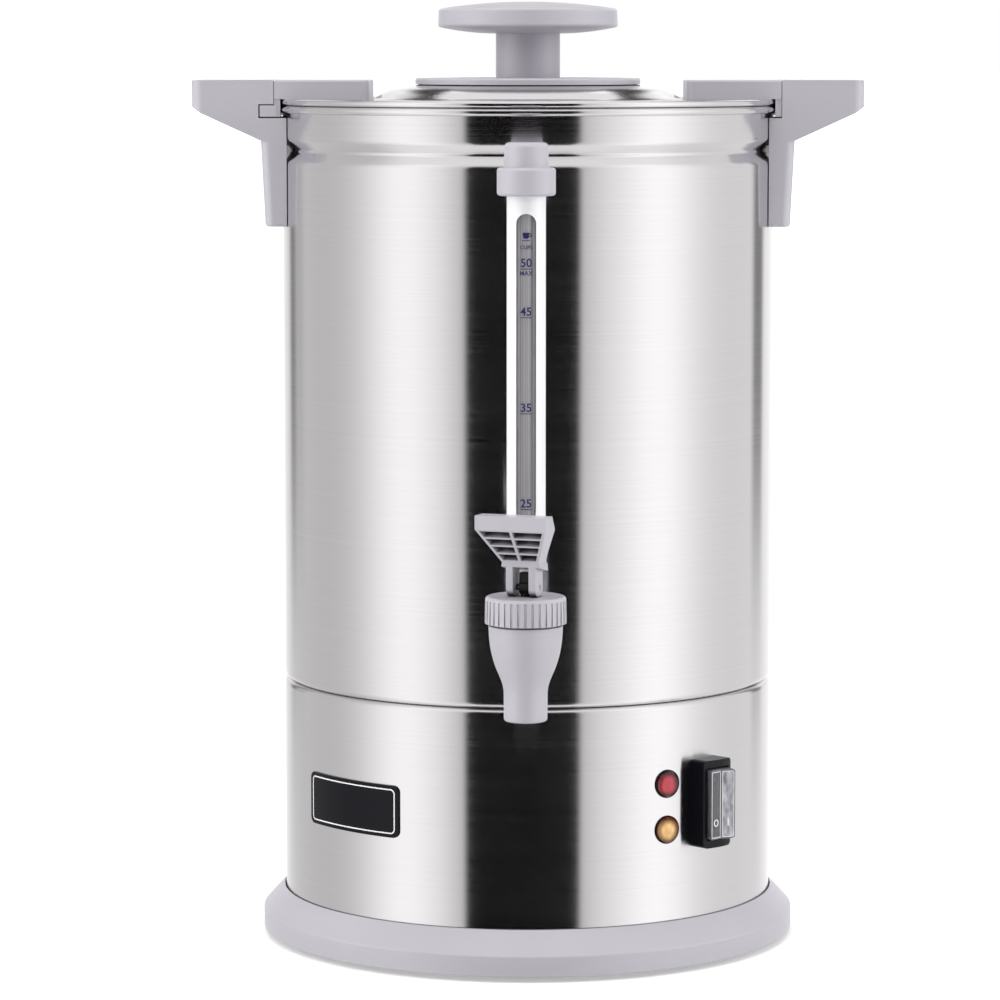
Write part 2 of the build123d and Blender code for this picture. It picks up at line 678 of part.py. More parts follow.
knob_low = flange_top + KNOB_STEM_HEIGHT
knob_edge_low = knob_low + KNOB_UNDERCUT
knob_edge_high = knob_edge_low + KNOB_EDGE
knob_rim_r = KNOB_RADIUS - KNOB_DRAFT
crown_radius = (knob_rim_r**2 + KNOB_CROWN**2) / (2 * KNOB_CROWN)
crown_half_angle = math.degrees(math.asin(knob_rim_r / crown_radius))
with BuildPart() as lid_knob:
    with BuildSketch(Plane.XZ):
        with BuildLine():
            Line((0, flange_top), (KNOB_STEM_RADIUS, flange_top))
            Line((KNOB_STEM_RADIUS, flange_top), (KNOB_STEM_RADIUS, knob_low))
            ThreePointArc(
                (KNOB_STEM_RADIUS, knob_low),
                ((KNOB_STEM_RADIUS + KNOB_RADIUS) / 2, knob_low + KNOB_BELLY),
                (KNOB_RADIUS, knob_edge_low),
            )
            Line((KNOB_RADIUS, knob_edge_low), (knob_rim_r, knob_edge_high))
            CenterArc(
                (0, knob_edge_high + KNOB_CROWN - crown_radius),
                crown_radius,
                90 - crown_half_angle,
                crown_half_angle,
            )
            Line((0, knob_edge_high + KNOB_CROWN), (0, flange_top))
        make_face()
    revolve(axis=Axis.Z)
    levels = lid_knob.edges().filter_by_position(Axis.Z, knob_edge_low, knob_edge_high)
    fillet(levels.filter_by(lambda edge: edge.is_closed), radius=KNOB_ROUND)
    with BuildSketch(Plane.XY.offset(flange_top)):
        Circle(KNOB_SCREW_RADIUS)
    extrude(amount=KNOB_SCREW_BITE + HOLE_GAP, mode=Mode.SUBTRACT)
finish(lid_knob, "lid_knob")

with BuildPart() as knob_screw:
    with BuildSketch(Plane.XY.offset(lid_top_z - LID_SHEET)):
        Circle(KNOB_SCREW_HEAD)
    extrude(amount=-KNOB_SCREW_HEAD_HEIGHT)
    fillet(knob_screw.edges().group_by(Axis.Z)[0], radius=KNOB_SCREW_HEAD_HEIGHT / 2)
    with BuildSketch(Plane.XY.offset(lid_top_z - LID_SHEET)):
        Circle(KNOB_SCREW_RADIUS)
    extrude(amount=LID_SHEET + FLANGE_THICKNESS + KNOB_SCREW_BITE)
finish(knob_screw, "knob_screw")

# ------------------------------------------------------------------ handles and ears

shelf_z = rim_z - KEEPER_DROP
keeper_r = TANK_RADIUS + KEEPER_GAP
slot_r = keeper_r + KEEPER_DEPTH
handle_out = TANK_RADIUS + HANDLE_REACH
leg_out_top = TANK_RADIUS + HANDLE_LEG_TOP
leg_out_foot = TANK_RADIUS + HANDLE_LEG_FOOT
leg_back = TANK_RADIUS - HANDLE_LEG_BACK
tip_z = handle_top_z - HANDLE_TIP
root_z = handle_top_z - HANDLE_ROOT_DROP
leg_z = handle_top_z - HANDLE_LEG_DROP
bracket_z = (root_z + leg_z) / 2
bracket_back = TANK_RADIUS - HANDLE_LEG_BACK
screw_seat = leg_out_foot - HANDLE_SCREW_SINK
screw_places = [(0, bracket_z - HANDLE_SCREW_SPACING / 2), (0, bracket_z + HANDLE_SCREW_SPACING / 2)]
wing_length = handle_out - leg_back + HANDLE_CORNER
leg_length = leg_out_foot - leg_back + HANDLE_CORNER


def build_handle(side):
    """One handle: a wing with a rounded tip over a leg that follows the tank wall.

    Args:
        side: -1 for the left handle, +1 for the right. Each has its keeper slot open on the
            side that its ear leaves by when the lid turns anticlockwise from above.
    """
    with BuildPart() as handle:
        with BuildSketch(Plane.XZ):
            with BuildLine():
                Polyline(
                    (side * handle_out, handle_top_z),
                    (side * handle_out, tip_z),
                    (side * (handle_out - HANDLE_CHAMFER), tip_z - HANDLE_CHAMFER_DROP),
                    (side * leg_out_top, root_z),
                    (side * leg_back, root_z),
                    (side * leg_back, handle_top_z),
                    close=True,
                )
            make_face()
        extrude(amount=HANDLE_HALF_WIDTH, both=True)
        with BuildSketch(Plane.XY.offset(root_z)):
            with Locations((side * (handle_out - wing_length / 2), 0)):
                RectangleRounded(wing_length, 2 * HANDLE_HALF_WIDTH, HANDLE_CORNER)
        extrude(amount=HANDLE_ROOT_DROP, mode=Mode.INTERSECT)
        with BuildSketch(Plane.XY.offset(leg_z)):
            with Locations((side * (leg_out_foot - leg_length / 2), 0)):
                RectangleRounded(leg_length, 2 * HANDLE_HALF_WIDTH, HANDLE_CORNER - 1)
        with BuildSketch(Plane.XY.offset(root_z)):
            with Locations((side * (leg_out_top - leg_length / 2), 0)):
                RectangleRounded(leg_length, 2 * HANDLE_HALF_WIDTH, HANDLE_CORNER - 1)
        loft()
        with BuildSketch(Plane.XY.offset(root_z)):
            with Locations((side * (leg_out_top - leg_length / 2), 0)):
                RectangleRounded(leg_length, 2 * HANDLE_HALF_WIDTH, HANDLE_CORNER - 1)
        extrude(amount=HANDLE_WEB)
        # The tank, its rim and the lid's ear stand inside these two bores
        with BuildSketch(Plane.XY.offset(leg_z)):
            Circle(TANK_RADIUS + HANDLE_FIT)
        extrude(amount=shelf_z - leg_z, mode=Mode.SUBTRACT)
        with BuildSketch(Plane.XY.offset(shelf_z)):
            Circle(keeper_r)
        extrude(amount=handle_top_z - shelf_z, mode=Mode.SUBTRACT)
        # Keeper slot for the tongue: closed at one end only
        with BuildSketch(Plane.XY.offset(shelf_z)):
            with Locations((side * slot_r / 2, side * KEEPER_END)):
                Rectangle(slot_r, 2 * HANDLE_HALF_WIDTH)
            Circle(slot_r, mode=Mode.INTERSECT)
        extrude(amount=KEEPER_HEIGHT, mode=Mode.SUBTRACT)
        # Pocket for the wall bracket, and two counterbored screw holes
        with BuildSketch(Plane.YZ.offset(side * bracket_back)):
            with Locations((0, bracket_z)):
                Rectangle(BRACKET_WIDTH + 2 * POCKET_GAP, BRACKET_HEIGHT + 2 * POCKET_GAP)
        extrude(amount=side * (HANDLE_LEG_BACK + BRACKET_PROUD + HOLE_GAP), mode=Mode.SUBTRACT)
        with BuildSketch(Plane.YZ.offset(side * bracket_back)):
            with Locations(*screw_places):
                Circle(HANDLE_SCREW_RADIUS + HOLE_GAP)
        extrude(amount=side * (screw_seat - bracket_back), mode=Mode.SUBTRACT)
        with BuildSketch(Plane.YZ.offset(side * screw_seat)):
            with Locations(*screw_places):
                Circle(HANDLE_SCREW_HEAD + RUNNING_GAP)
        extrude(amount=side * HANDLE_REACH, mode=Mode.SUBTRACT)
        foot_edges = handle.edges().group_by(Axis.Z)[0].sort_by(Axis.X)
        fillet(foot_edges[0 if side < 0 else -1], radius=HANDLE_FOOT_ROUND)
    return handle


handle_left = build_handle(-1)
finish(handle_left, "handle_left")
handle_right = build_handle(1)
finish(handle_right, "handle_right")

# Brackets welded to the tank wall take the handles' screws
with BuildPart() as handle_brackets:
    for side in (-1, 1):
        with BuildSketch(Plane.YZ.offset(side * bracket_back)):
            with Locations((0, bracket_z)):
                Rectangle(BRACKET_WIDTH, BRACKET_HEIGHT)
            with Locations(*screw_places):
                Circle(HANDLE_SCREW_RADIUS, mode=Mode.SUBTRACT)
        extrude(amount=side * (HANDLE_LEG_BACK + BRACKET_PROUD))
    with BuildSketch(Plane.XY.offset(bracket_z - BRACKET_HEIGHT / 2)):
        Circle(TANK_RADIUS)
    extrude(amount=BRACKET_HEIGHT, mode=Mode.SUBTRACT)
finish(handle_brackets, "handle_brackets")

with BuildPart() as handle_screws:
    for side in (-1, 1):
        with BuildSketch(Plane.YZ.offset(side * screw_seat)):
            with Locations(*screw_places):
                Circle(HANDLE_SCREW_HEAD)
        extrude(amount=side * HANDLE_SCREW_HEAD_HEIGHT)
        with BuildSketch(Plane.YZ.offset(side * screw_seat)):
            with Locations(*screw_places):
                Circle(HANDLE_SCREW_RADIUS)
        extrude(amount=-side * (screw_seat - TANK_RADIUS - SEAT_GAP))
finish(handle_screws, "handle_screws")

hook_out = keeper_r - RUNNING_GAP
hook_in = hook_out - EAR_HOOK
tongue_out = slot_r - 2 * RUNNING_GAP
tongue_in = hook_out - 1.0
tongue_z = shelf_z + EAR_TONGUE_RISE
tongue_end = KEEPER_END + 2 * RUNNING_GAP
ear_length = hook_out - TANK_RADIUS + EAR_LENGTH + EAR_CORNER


def build_ear(side):
    """One ear of the lid: a pad on the brim, a hook over the rim and a tongue outward.

    Args:
        side: -1 for the left ear, +1 for the right.
    """
    ear_middle = TANK_RADIUS - EAR_LENGTH + ear_length / 2
    with BuildPart() as ear:
        with BuildSketch(Plane.XY.offset(brim_z)):
            with Locations((side * ear_middle, 0)):
                RectangleRounded(ear_length, 2 * HANDLE_HALF_WIDTH, EAR_CORNER)
            Circle(hook_out, mode=Mode.INTERSECT)
        extrude(amount=handle_top_z - brim_z)
        fillet(ear.edges().group_by(Axis.Z)[-1], radius=EAR_ROUND)
        with BuildSketch(Plane.XY.offset(tongue_z)):
            with Locations((side * ear_middle, 0)):
                Rectangle(ear_length, 2 * (HANDLE_HALF_WIDTH - HOOK_SETBACK))
            Circle(hook_out, mode=Mode.INTERSECT)
            Circle(hook_in, mode=Mode.SUBTRACT)
        extrude(amount=brim_z - tongue_z + EAR_ROUND)
        with BuildSketch(Plane.XY.offset(tongue_z)):
            with Locations((side * slot_r / 2, side * tongue_end / 2)):
                Rectangle(slot_r, 2 * HANDLE_HALF_WIDTH - tongue_end)
            Circle(tongue_out, mode=Mode.INTERSECT)
            Circle(tongue_in, mode=Mode.SUBTRACT)
        extrude(amount=EAR_TONGUE_HEIGHT)
        with BuildSketch(Plane.XY.offset(brim_z)):
            with Locations((side * rivet_r, 0)):
                with GridLocations(0, RIVET_SPACING, 1, 2):
                    Circle(RIVET_RADIUS)
        extrude(amount=RIVET_LENGTH + HOLE_GAP, mode=Mode.SUBTRACT)
    return ear


lid_ear_left = build_ear(-1)
finish(lid_ear_left, "lid_ear_left")
lid_ear_right = build_ear(1)
finish(lid_ear_right, "lid_ear_right")

with BuildPart() as ear_rivets:
    with BuildSketch(Plane.XY.offset(brim_z - LID_SHEET)):
        with GridLocations(2 * rivet_r, RIVET_SPACING, 2, 2):
            Circle(2 * RIVET_RADIUS)
    extrude(amount=-RIVET_HEAD)
    with BuildSketch(Plane.XY.offset(brim_z - LID_SHEET)):
        with GridLocations(2 * rivet_r, RIVET_SPACING, 2, 2):
            Circle(RIVET_RADIUS)
    extrude(amount=LID_SHEET + RIVET_LENGTH)
finish(ear_rivets, "ear_rivets")

# ------------------------------------------------------------------ percolator

basket_z = floor_z + BASKET_RISE
basket_top_z = basket_z + BASKET_HEIGHT
stem_top_z = basket_top_z + STEM_ABOVE_BASKET
sleeve_r = STEM_RADIUS + BASKET_SLEEVE_GAP + BASKET_SHEET / 2

with BuildPart() as percolator_stem:
    with BuildSketch(Plane.XZ):
        with BuildLine():
            Polyline(
                (STEM_RADIUS - STEM_WALL, well_z + STEM_FOOT_RISE - STEM_WALL),
                (STEM_FOOT_RADIUS - STEM_WALL, well_z + STEM_FOOT_EDGE - STEM_WALL),
                (STEM_FOOT_RADIUS - STEM_WALL, well_z),
                (STEM_FOOT_RADIUS, well_z),
                (STEM_FOOT_RADIUS, well_z + STEM_FOOT_EDGE),
                (STEM_RADIUS, well_z + STEM_FOOT_RISE),
                (STEM_RADIUS, basket_z - STEM_COLLAR_HEIGHT),
                (STEM_RADIUS + STEM_COLLAR, basket_z - STEM_COLLAR_HEIGHT),
                (STEM_RADIUS + STEM_COLLAR, basket_z),
                (STEM_RADIUS, basket_z),
                (STEM_RADIUS, stem_top_z),
                (STEM_RADIUS - STEM_WALL, stem_top_z),
                close=True,
            )
        make_face()
    revolve(axis=Axis.Z)
    with BuildSketch(Plane.XY.offset(well_z)):
        with PolarLocations(STEM_FOOT_RADIUS, 4, start_angle=45):
            Rectangle(STEM_NOTCH_WIDTH, STEM_NOTCH_WIDTH)
    extrude(amount=STEM_NOTCH_HEIGHT, mode=Mode.SUBTRACT)
finish(percolator_stem, "percolator_stem")

with BuildPart() as pump_washer:
    with BuildSketch(Plane.XY.offset(well_z + SEAT_GAP)):
        Circle(PUMP_WASHER_RADIUS)
        Circle(PUMP_WASHER_HOLE, mode=Mode.SUBTRACT)
    extrude(amount=PUMP_WASHER_THICKNESS)
finish(pump_washer, "pump_washer")


def drill_rings(height, start_angle):
    """Sketch rings of small holes, more of them in each wider ring.

    Args:
        height: level of the sketch.
        start_angle: degrees by which each ring starts late.
    """
    with BuildSketch(Plane.XY.offset(height)) as rings:
        for ring in range(BASKET_HOLE_RINGS):
            ring_radius = BASKET_HOLE_FIRST + ring * BASKET_HOLE_STEP
            holes = BASKET_HOLE_COUNT + ring * BASKET_HOLE_MORE
            with PolarLocations(ring_radius, holes, start_angle=start_angle):
                Circle(BASKET_HOLE)
    return rings.sketch


with BuildPart() as basket:
    with BuildSketch(Plane.XZ):
        with BuildLine():
            FilletPolyline(
                (sleeve_r, basket_top_z - SPREADER_SINK),
                (sleeve_r, basket_z + BASKET_SHEET / 2),
                (BASKET_RADIUS - BASKET_TAPER, basket_z + BASKET_SHEET / 2),
                (BASKET_RADIUS, basket_top_z),
                radius=(2.0, 5.0),
            )
        trace(line_width=BASKET_SHEET)
    revolve(axis=Axis.Z)
    with BuildSketch(Plane.XZ):
        with Locations((BASKET_RADIUS + BASKET_BEAD - BASKET_SHEET / 2, basket_top_z)):
            Circle(BASKET_BEAD)
    revolve(axis=Axis.Z)
    extrude(drill_rings(basket_z - BASKET_SHEET, 0), amount=3 * BASKET_SHEET, mode=Mode.SUBTRACT)
finish(basket, "basket")

# The spreader hangs by its rim on the basket and shares the water over the grounds
spreader_z = basket_top_z - SPREADER_SINK
with BuildPart() as basket_cover:
    with BuildSketch(Plane.XZ):
        with BuildLine():
            FilletPolyline(
                (STEM_RADIUS + SPREADER_BORE_GAP, spreader_z + SPREADER_NECK),
                (STEM_RADIUS + SPREADER_NECK_FOOT, spreader_z),
                (BASKET_RADIUS - 1.5 * BASKET_TAPER, spreader_z),
                (BASKET_RADIUS - BASKET_TAPER, spreader_z + SPREADER_WALL),
                (BASKET_RADIUS + BASKET_BEAD, spreader_z + SPREADER_WALL),
                radius=(4.0, 2.0, 1.5),
            )
        trace(line_width=BASKET_SHEET)
    revolve(axis=Axis.Z)
    extrude(drill_rings(spreader_z - BASKET_SHEET, 10), amount=3 * BASKET_SHEET, mode=Mode.SUBTRACT)
finish(basket_cover, "basket_cover")

# ------------------------------------------------------------------ tap shank and gauge

flange_y = -(TANK_RADIUS + WASHER_THICKNESS)
nut_y = -(inside_radius - WASHER_THICKNESS - WASHER_CROWN)
shank_in_y = nut_y + SHANK_TAIL
collar_y = gauge_y - PORT_RADIUS - SHANK_COLLAR_STEP
shank_out_y = tap_y + TAP_CHAMBER - SHANK_INTO_CHAMBER
port_top_z = shank_z + PORT_RISE
glass_z = port_top_z - GLASS_SOCKET
boss_radius = SHANK_RADIUS + SHANK_BOSS


def shank_plane(y):
    """Plane across the shank's axis at this y, facing the front."""
    return Plane(origin=(0, y, shank_z), x_dir=(1, 0, 0), z_dir=(0, -1, 0))


with BuildPart() as tap_shank:
    with BuildSketch(shank_plane(shank_in_y)):
        Circle(SHANK_RADIUS)
    extrude(amount=shank_in_y - shank_out_y)
    with BuildSketch(shank_plane(flange_y)):
        Circle(SHANK_FLANGE)
    extrude(amount=SHANK_FLANGE_THICKNESS)
    with BuildSketch(shank_plane(flange_y)):
        Circle(boss_radius)
    extrude(amount=flange_y - collar_y)
    with BuildSketch(Plane.XY.offset(shank_z)):
        with Locations((0, gauge_y)):
            Circle(PORT_RADIUS)
    extrude(amount=PORT_RISE)
    with BuildSketch(Plane.XY.offset(glass_z - SEAL_HEIGHT)):
        with Locations((0, gauge_y)):
            Circle(GLASS_RADIUS + HOLE_GAP)
    extrude(amount=PORT_RISE, mode=Mode.SUBTRACT)
    with BuildSketch(Plane.XY.offset(shank_z)):
        with Locations((0, gauge_y)):
            Circle(GLASS_RADIUS - GLASS_WALL - SEAL_STEP)
    extrude(amount=PORT_RISE, mode=Mode.SUBTRACT)
    with BuildSketch(shank_plane(shank_in_y)):
        Circle(SHANK_BORE)
    extrude(amount=shank_in_y - shank_out_y, mode=Mode.SUBTRACT)
finish(tap_shank, "tap_shank")

with BuildPart() as shank_washer_outer:
    with BuildSketch(shank_plane(-inside_radius)):
        Circle(SHANK_FLANGE - WASHER_SETBACK)
        Circle(SHANK_RADIUS, mode=Mode.SUBTRACT)
    extrude(amount=-inside_radius - flange_y)
    with Locations((0, 0, shank_z)):
        Cylinder(TANK_RADIUS, 3 * SHANK_FLANGE, mode=Mode.SUBTRACT)
finish(shank_washer_outer, "shank_washer_outer")

with BuildPart() as shank_washer_inner:
    with BuildSketch(shank_plane(nut_y)):
        Circle(SHANK_FLANGE - WASHER_SETBACK)
        Circle(SHANK_RADIUS, mode=Mode.SUBTRACT)
    extrude(amount=3 * WASHER_THICKNESS)
    with Locations((0, 0, shank_z)):
        Cylinder(inside_radius, 3 * SHANK_FLANGE, mode=Mode.INTERSECT)
finish(shank_washer_inner, "shank_washer_inner")

with BuildPart() as shank_nut:
    with BuildSketch(shank_plane(nut_y)):
        RegularPolygon(SHANK_NUT_HALF_WIDTH, 6, major_radius=False)
        Circle(SHANK_RADIUS, mode=Mode.SUBTRACT)
    extrude(amount=-SHANK_NUT_THICKNESS)
finish(shank_nut, "shank_nut")

glass_top_z = glass_z + GLASS_LENGTH
with BuildPart() as gauge_glass:
    with BuildSketch(Plane.XY.offset(glass_z)):
        with Locations((0, gauge_y)):
            Circle(GLASS_RADIUS)
            Circle(GLASS_RADIUS - GLASS_WALL, mode=Mode.SUBTRACT)
    extrude(amount=GLASS_LENGTH)
finish(gauge_glass, "gauge_glass")

with BuildPart() as gauge_seals:
    for low in (glass_z - SEAL_HEIGHT, glass_top_z):
        with BuildSketch(Plane.XY.offset(low)):
            with Locations((0, gauge_y)):
                Circle(GLASS_RADIUS)
                Circle(GLASS_RADIUS - GLASS_WALL - SEAL_STEP, mode=Mode.SUBTRACT)
        extrude(amount=SEAL_HEIGHT)
finish(gauge_seals, "gauge_seals")

guard_z = port_top_z - GUARD_LAP
guard_top_z = glass_top_z - GUARD_BELOW_GLASS
with BuildPart() as gauge_guard:
    with BuildSketch(Plane.XY.offset(guard_z)):
        with Locations((0, gauge_y)):
            Circle(GUARD_RADIUS)
            Circle(PORT_RADIUS + GUARD_FIT, mode=Mode.SUBTRACT)
    extrude(amount=GUARD_LAP)
    with BuildSketch(Plane.XY.offset(port_top_z)):
        with Locations((0, gauge_y)):
            Circle(GUARD_RADIUS)
            Circle(GLASS_RADIUS + GUARD_GLASS_GAP, mode=Mode.SUBTRACT)
    extrude(amount=guard_top_z - port_top_z)
    window_low = shank_z + WINDOW_LOW_RISE
    window_high = guard_top_z - WINDOW_BELOW_GUARD
    with BuildSketch(Plane.XZ.offset(-gauge_y)):
        with Locations((0, (window_low + window_high) / 2)):
            SlotOverall(window_high - window_low, WINDOW_WIDTH, rotation=90)
    extrude(amount=2 * GUARD_RADIUS, mode=Mode.SUBTRACT)
finish(gauge_guard, "gauge_guard")

cap_z = guard_top_z - CAP_LAP
with BuildPart() as gauge_cap:
    with BuildSketch(Plane.XY.offset(cap_z)):
        with Locations((0, gauge_y)):
            Circle(CAP_RADIUS)
    extrude(amount=CAP_COLLAR)
    fillet(gauge_cap.edges().filter_by(GeomType.CIRCLE), radius=CAP_COLLAR_ROUND)
    with BuildSketch(Plane.XY.offset(cap_z + CAP_COLLAR)):
        with Locations((0, gauge_y)):
            Circle(CAP_PLUG_RADIUS)
    extrude(amount=CAP_PLUG, taper=CAP_PLUG_TAPER)
    fillet(gauge_cap.edges().group_by(Axis.Z)[-1], radius=CAP_PLUG_ROUND)
    with BuildSketch(Plane.XY.offset(cap_z)):
        with Locations((0, gauge_y)):
            Circle(GUARD_RADIUS + GUARD_FIT)
    extrude(amount=CAP_LAP, mode=Mode.SUBTRACT)
    with BuildSketch(Plane.XY.offset(cap_z)):
        with Locations((0, gauge_y)):
            Circle(GLASS_RADIUS + HOLE_GAP)
    extrude(amount=glass_top_z + SEAL_HEIGHT - cap_z, mode=Mode.SUBTRACT)
    with BuildSketch(Plane.XY.offset(cap_z)):
        with Locations((0, gauge_y)):
            Circle(CAP_VENT)
    extrude(amount=CAP_COLLAR + CAP_PLUG, mode=Mode.SUBTRACT)
finish(gauge_cap, "gauge_cap")

# ------------------------------------------------------------------ tap

spout_z = shank_z - TAP_SPOUT_DROP
spout_top_z = spout_z + TAP_SPOUT_LENGTH
spout_top_r = TAP_SPOUT_RADIUS + TAP_SPOUT_FLARE
shoulder_z = shank_z + TAP_SHOULDER_RISE
orifice_z = seat_z - TAP_SEAT_THICKNESS
neck_r = TAP_CHAMBER + TAP_NECK_WALL
neck_z = bonnet_top_z - BONNET_ROOF
tap_section = Plane(origin=(0, tap_y, 0), x_dir=(1, 0, 0), z_dir=(0, -1, 0))
tap_axis = Axis((0, tap_y, 0), (0, 0, 1))

with BuildPart() as tap_body:
    with BuildSketch(tap_section):
        with BuildLine():
            Line((0, spout_z), (TAP_SPOUT_RADIUS, spout_z))
            Line((TAP_SPOUT_RADIUS, spout_z), (spout_top_r, spout_top_z))
            Spline(
                (spout_top_r, spout_top_z),
                (TAP_WAIST, shoulder_z - TAP_WAIST_DROP),
                (TAP_SHOULDER, shoulder_z),
                tangents=((TAP_SPOUT_FLARE, 1), (0, 1)),
            )
            Line((TAP_SHOULDER, shoulder_z), (neck_r, shoulder_z))
            Line((neck_r, shoulder_z), (neck_r, neck_z))
            Line((neck_r, neck_z), (0, neck_z))
            Line((0, neck_z), (0, spout_z))
        make_face()
    revolve(axis=tap_axis)
    fillet(tap_body.edges().group_by(Axis.Z)[0], radius=TAP_SPOUT_ROUND)
    with BuildSketch(shank_plane(collar_y)):
        Circle(boss_radius)
    extrude(amount=collar_y - tap_y)
    with BuildSketch(Plane.XY.offset(seat_z)):
        with Locations((0, tap_y)):
            Circle(TAP_CHAMBER)
    extrude(amount=neck_z - seat_z, mode=Mode.SUBTRACT)
    with BuildSketch(Plane.XY.offset(orifice_z)):
        with Locations((0, tap_y)):
            Circle(TAP_ORIFICE)
    extrude(amount=TAP_SEAT_THICKNESS, mode=Mode.SUBTRACT)
    with BuildSketch(Plane.XY.offset(spout_z)):
        with Locations((0, tap_y)):
            Circle(TAP_BORE)
    extrude(amount=orifice_z - spout_z, mode=Mode.SUBTRACT)
    with BuildSketch(shank_plane(collar_y)):
        Circle(SHANK_RADIUS)
    extrude(amount=collar_y - shank_out_y, mode=Mode.SUBTRACT)
    with BuildSketch(shank_plane(shank_out_y)):
        Circle(SHANK_BORE)
    extrude(amount=TAP_CHAMBER / 2, mode=Mode.SUBTRACT)
finish(tap_body, "tap_body")

stem_hole = VALVE_STEM_RADIUS + RUNNING_GAP
with BuildPart() as tap_bonnet:
    with BuildSketch(Plane.XY.offset(bonnet_z)):
        with Locations((0, tap_y)):
            Circle(BONNET_RADIUS)
    extrude(amount=BONNET_HEIGHT, taper=BONNET_TAPER)
    fillet(tap_bonnet.edges().group_by(Axis.Z)[-1], radius=BONNET_ROUND)
    with BuildSketch(Plane.XY.offset(bonnet_z)):
        with Locations((0, tap_y)):
            with PolarLocations(BONNET_RADIUS, BONNET_GROOVE_COUNT):
                Rectangle(2 * BONNET_GROOVE_DEPTH, BONNET_GROOVE_WIDTH)
    extrude(amount=BONNET_HEIGHT - BONNET_SMOOTH_TOP, mode=Mode.SUBTRACT)
    with BuildSketch(Plane.XY.offset(bonnet_z)):
        with Locations((0, tap_y)):
            Circle(neck_r)
    extrude(amount=neck_z - bonnet_z, mode=Mode.SUBTRACT)
    with BuildSketch(Plane.XY.offset(bonnet_z)):
        with Locations((0, tap_y)):
            Circle(stem_hole)
    extrude(amount=BONNET_HEIGHT, mode=Mode.SUBTRACT)
finish(tap_bonnet, "tap_bonnet")

cup_z = seat_z + SEAT_GAP
cup_top = cup_z + SEAT_CUP_HEIGHT
collar_radius = VALVE_STEM_RADIUS + VALVE_STEM_COLLAR
eye_radius = LEVER_HEEL - VALVE_EYE_SETBACK
with BuildPart() as valve_stem:
    with BuildSketch(Plane.XY.offset(cup_top)):
        with Locations((0, tap_y)):
            Circle(collar_radius)
    extrude(amount=VALVE_STEM_COLLAR_HEIGHT)
    with BuildSketch(Plane.XY.offset(cup_top)):
        with Locations((0, tap_y)):
            Circle(VALVE_STEM_RADIUS)
    extrude(amount=pin_z - cup_top)
    with BuildSketch(lever_side):
        with Locations((0, pin_z)):
            Circle(eye_radius)
        with Locations((0, pin_z + VALVE_HEAD_HEIGHT / 2)):
            Rectangle(2 * VALVE_HEAD_RADIUS, VALVE_HEAD_HEIGHT)
    extrude(amount=VALVE_EYE_THICKNESS / 2, both=True)
    fillet(valve_stem.edges().group_by(Axis.Z)[-1], radius=VALVE_HEAD_ROUND)
    with BuildSketch(lever_side):
        with Locations((0, pin_z)):
            Circle(LEVER_PIN_RADIUS)
    extrude(amount=VALVE_EYE_THICKNESS, both=True, mode=Mode.SUBTRACT)
finish(valve_stem, "valve_stem")

with BuildPart() as seat_cup:
    with BuildSketch(tap_section):
        with BuildLine():
            Polyline(
                (0, cup_z + SEAT_CUP_HOLLOW),
                (TAP_ORIFICE - 2 * SEAT_CUP_HOLLOW, cup_z + SEAT_CUP_HOLLOW),
                (TAP_ORIFICE - SEAT_CUP_HOLLOW, cup_z),
                (SEAT_CUP_RADIUS, cup_z),
                (SEAT_CUP_RADIUS, cup_z + SEAT_CUP_SKIRT),
                (collar_radius, cup_top),
                (0, cup_top),
                close=True,
            )
        make_face()
    revolve(axis=tap_axis)
    fillet(seat_cup.edges().group_by(Axis.Z)[-1].sort_by(SortBy.RADIUS)[-1], radius=SEAT_CUP_ROUND)
finish(seat_cup, "seat_cup")

spring_low = cup_top + VALVE_STEM_COLLAR_HEIGHT + SPRING_WIRE / 2
spring_high = neck_z - SPRING_WIRE / 2
with BuildPart() as valve_spring:
    with BuildLine():
        coil = Helix(
            pitch=(spring_high - spring_low) / SPRING_TURNS,
            height=spring_high - spring_low,
            radius=SPRING_RADIUS,
            center=(0, tap_y, spring_low),
        )
    with BuildSketch(Plane(origin=coil @ 0, z_dir=coil % 0)):
        Circle(SPRING_WIRE / 2)
    sweep()
finish(valve_spring, "valve_spring")

# ------------------------------------------------------------------ tap lever

leg_front = LEVER_CAM + LEVER_HEEL
leg_top = pin_z + LEVER_LEG_HEIGHT
heel_z = pin_z - LEVER_HEEL
lip_top = pin_z + LEVER_HEIGHT
lip_low = lip_top - LEVER_LIP
slope_z = pin_z + LEVER_SLOPE_FOOT
slope_run = LEVER_REACH - LEVER_SLOPE_START
slope_rise = lip_low - slope_z
slope_length = math.hypot(slope_run, slope_rise)
lip_half = LEVER_WIDTH / 2
low_half = LEVER_LOW_WIDTH / 2
foot_half = LEVER_FOOT_WIDTH / 2
back_x = LEVER_REACH - LEVER_THICKNESS
pocket_pitch = (slope_length - LEVER_RIB) / LEVER_POCKET_COUNT

# Upright plane across the lever, and the plane of its sloping face with y running up the slope
lever_front = Plane(origin=(0, tap_y, 0), x_dir=lever_side.z_dir, z_dir=-lever_side.x_dir)
up_slope = (lever_side.x_dir * slope_run + Vector(0, 0, slope_rise)).normalized()
slope_foot = lever_side.origin + lever_side.x_dir * LEVER_SLOPE_START + Vector(0, 0, slope_z)
slope_plane = Plane(
    origin=slope_foot, x_dir=lever_side.z_dir, z_dir=lever_side.z_dir.cross(up_slope)
)


def pocket_half(climb):
    """Half the width of the pockets at this distance up the sloping face."""
    return low_half - LEVER_RIM + climb * (lip_half - low_half) / slope_length


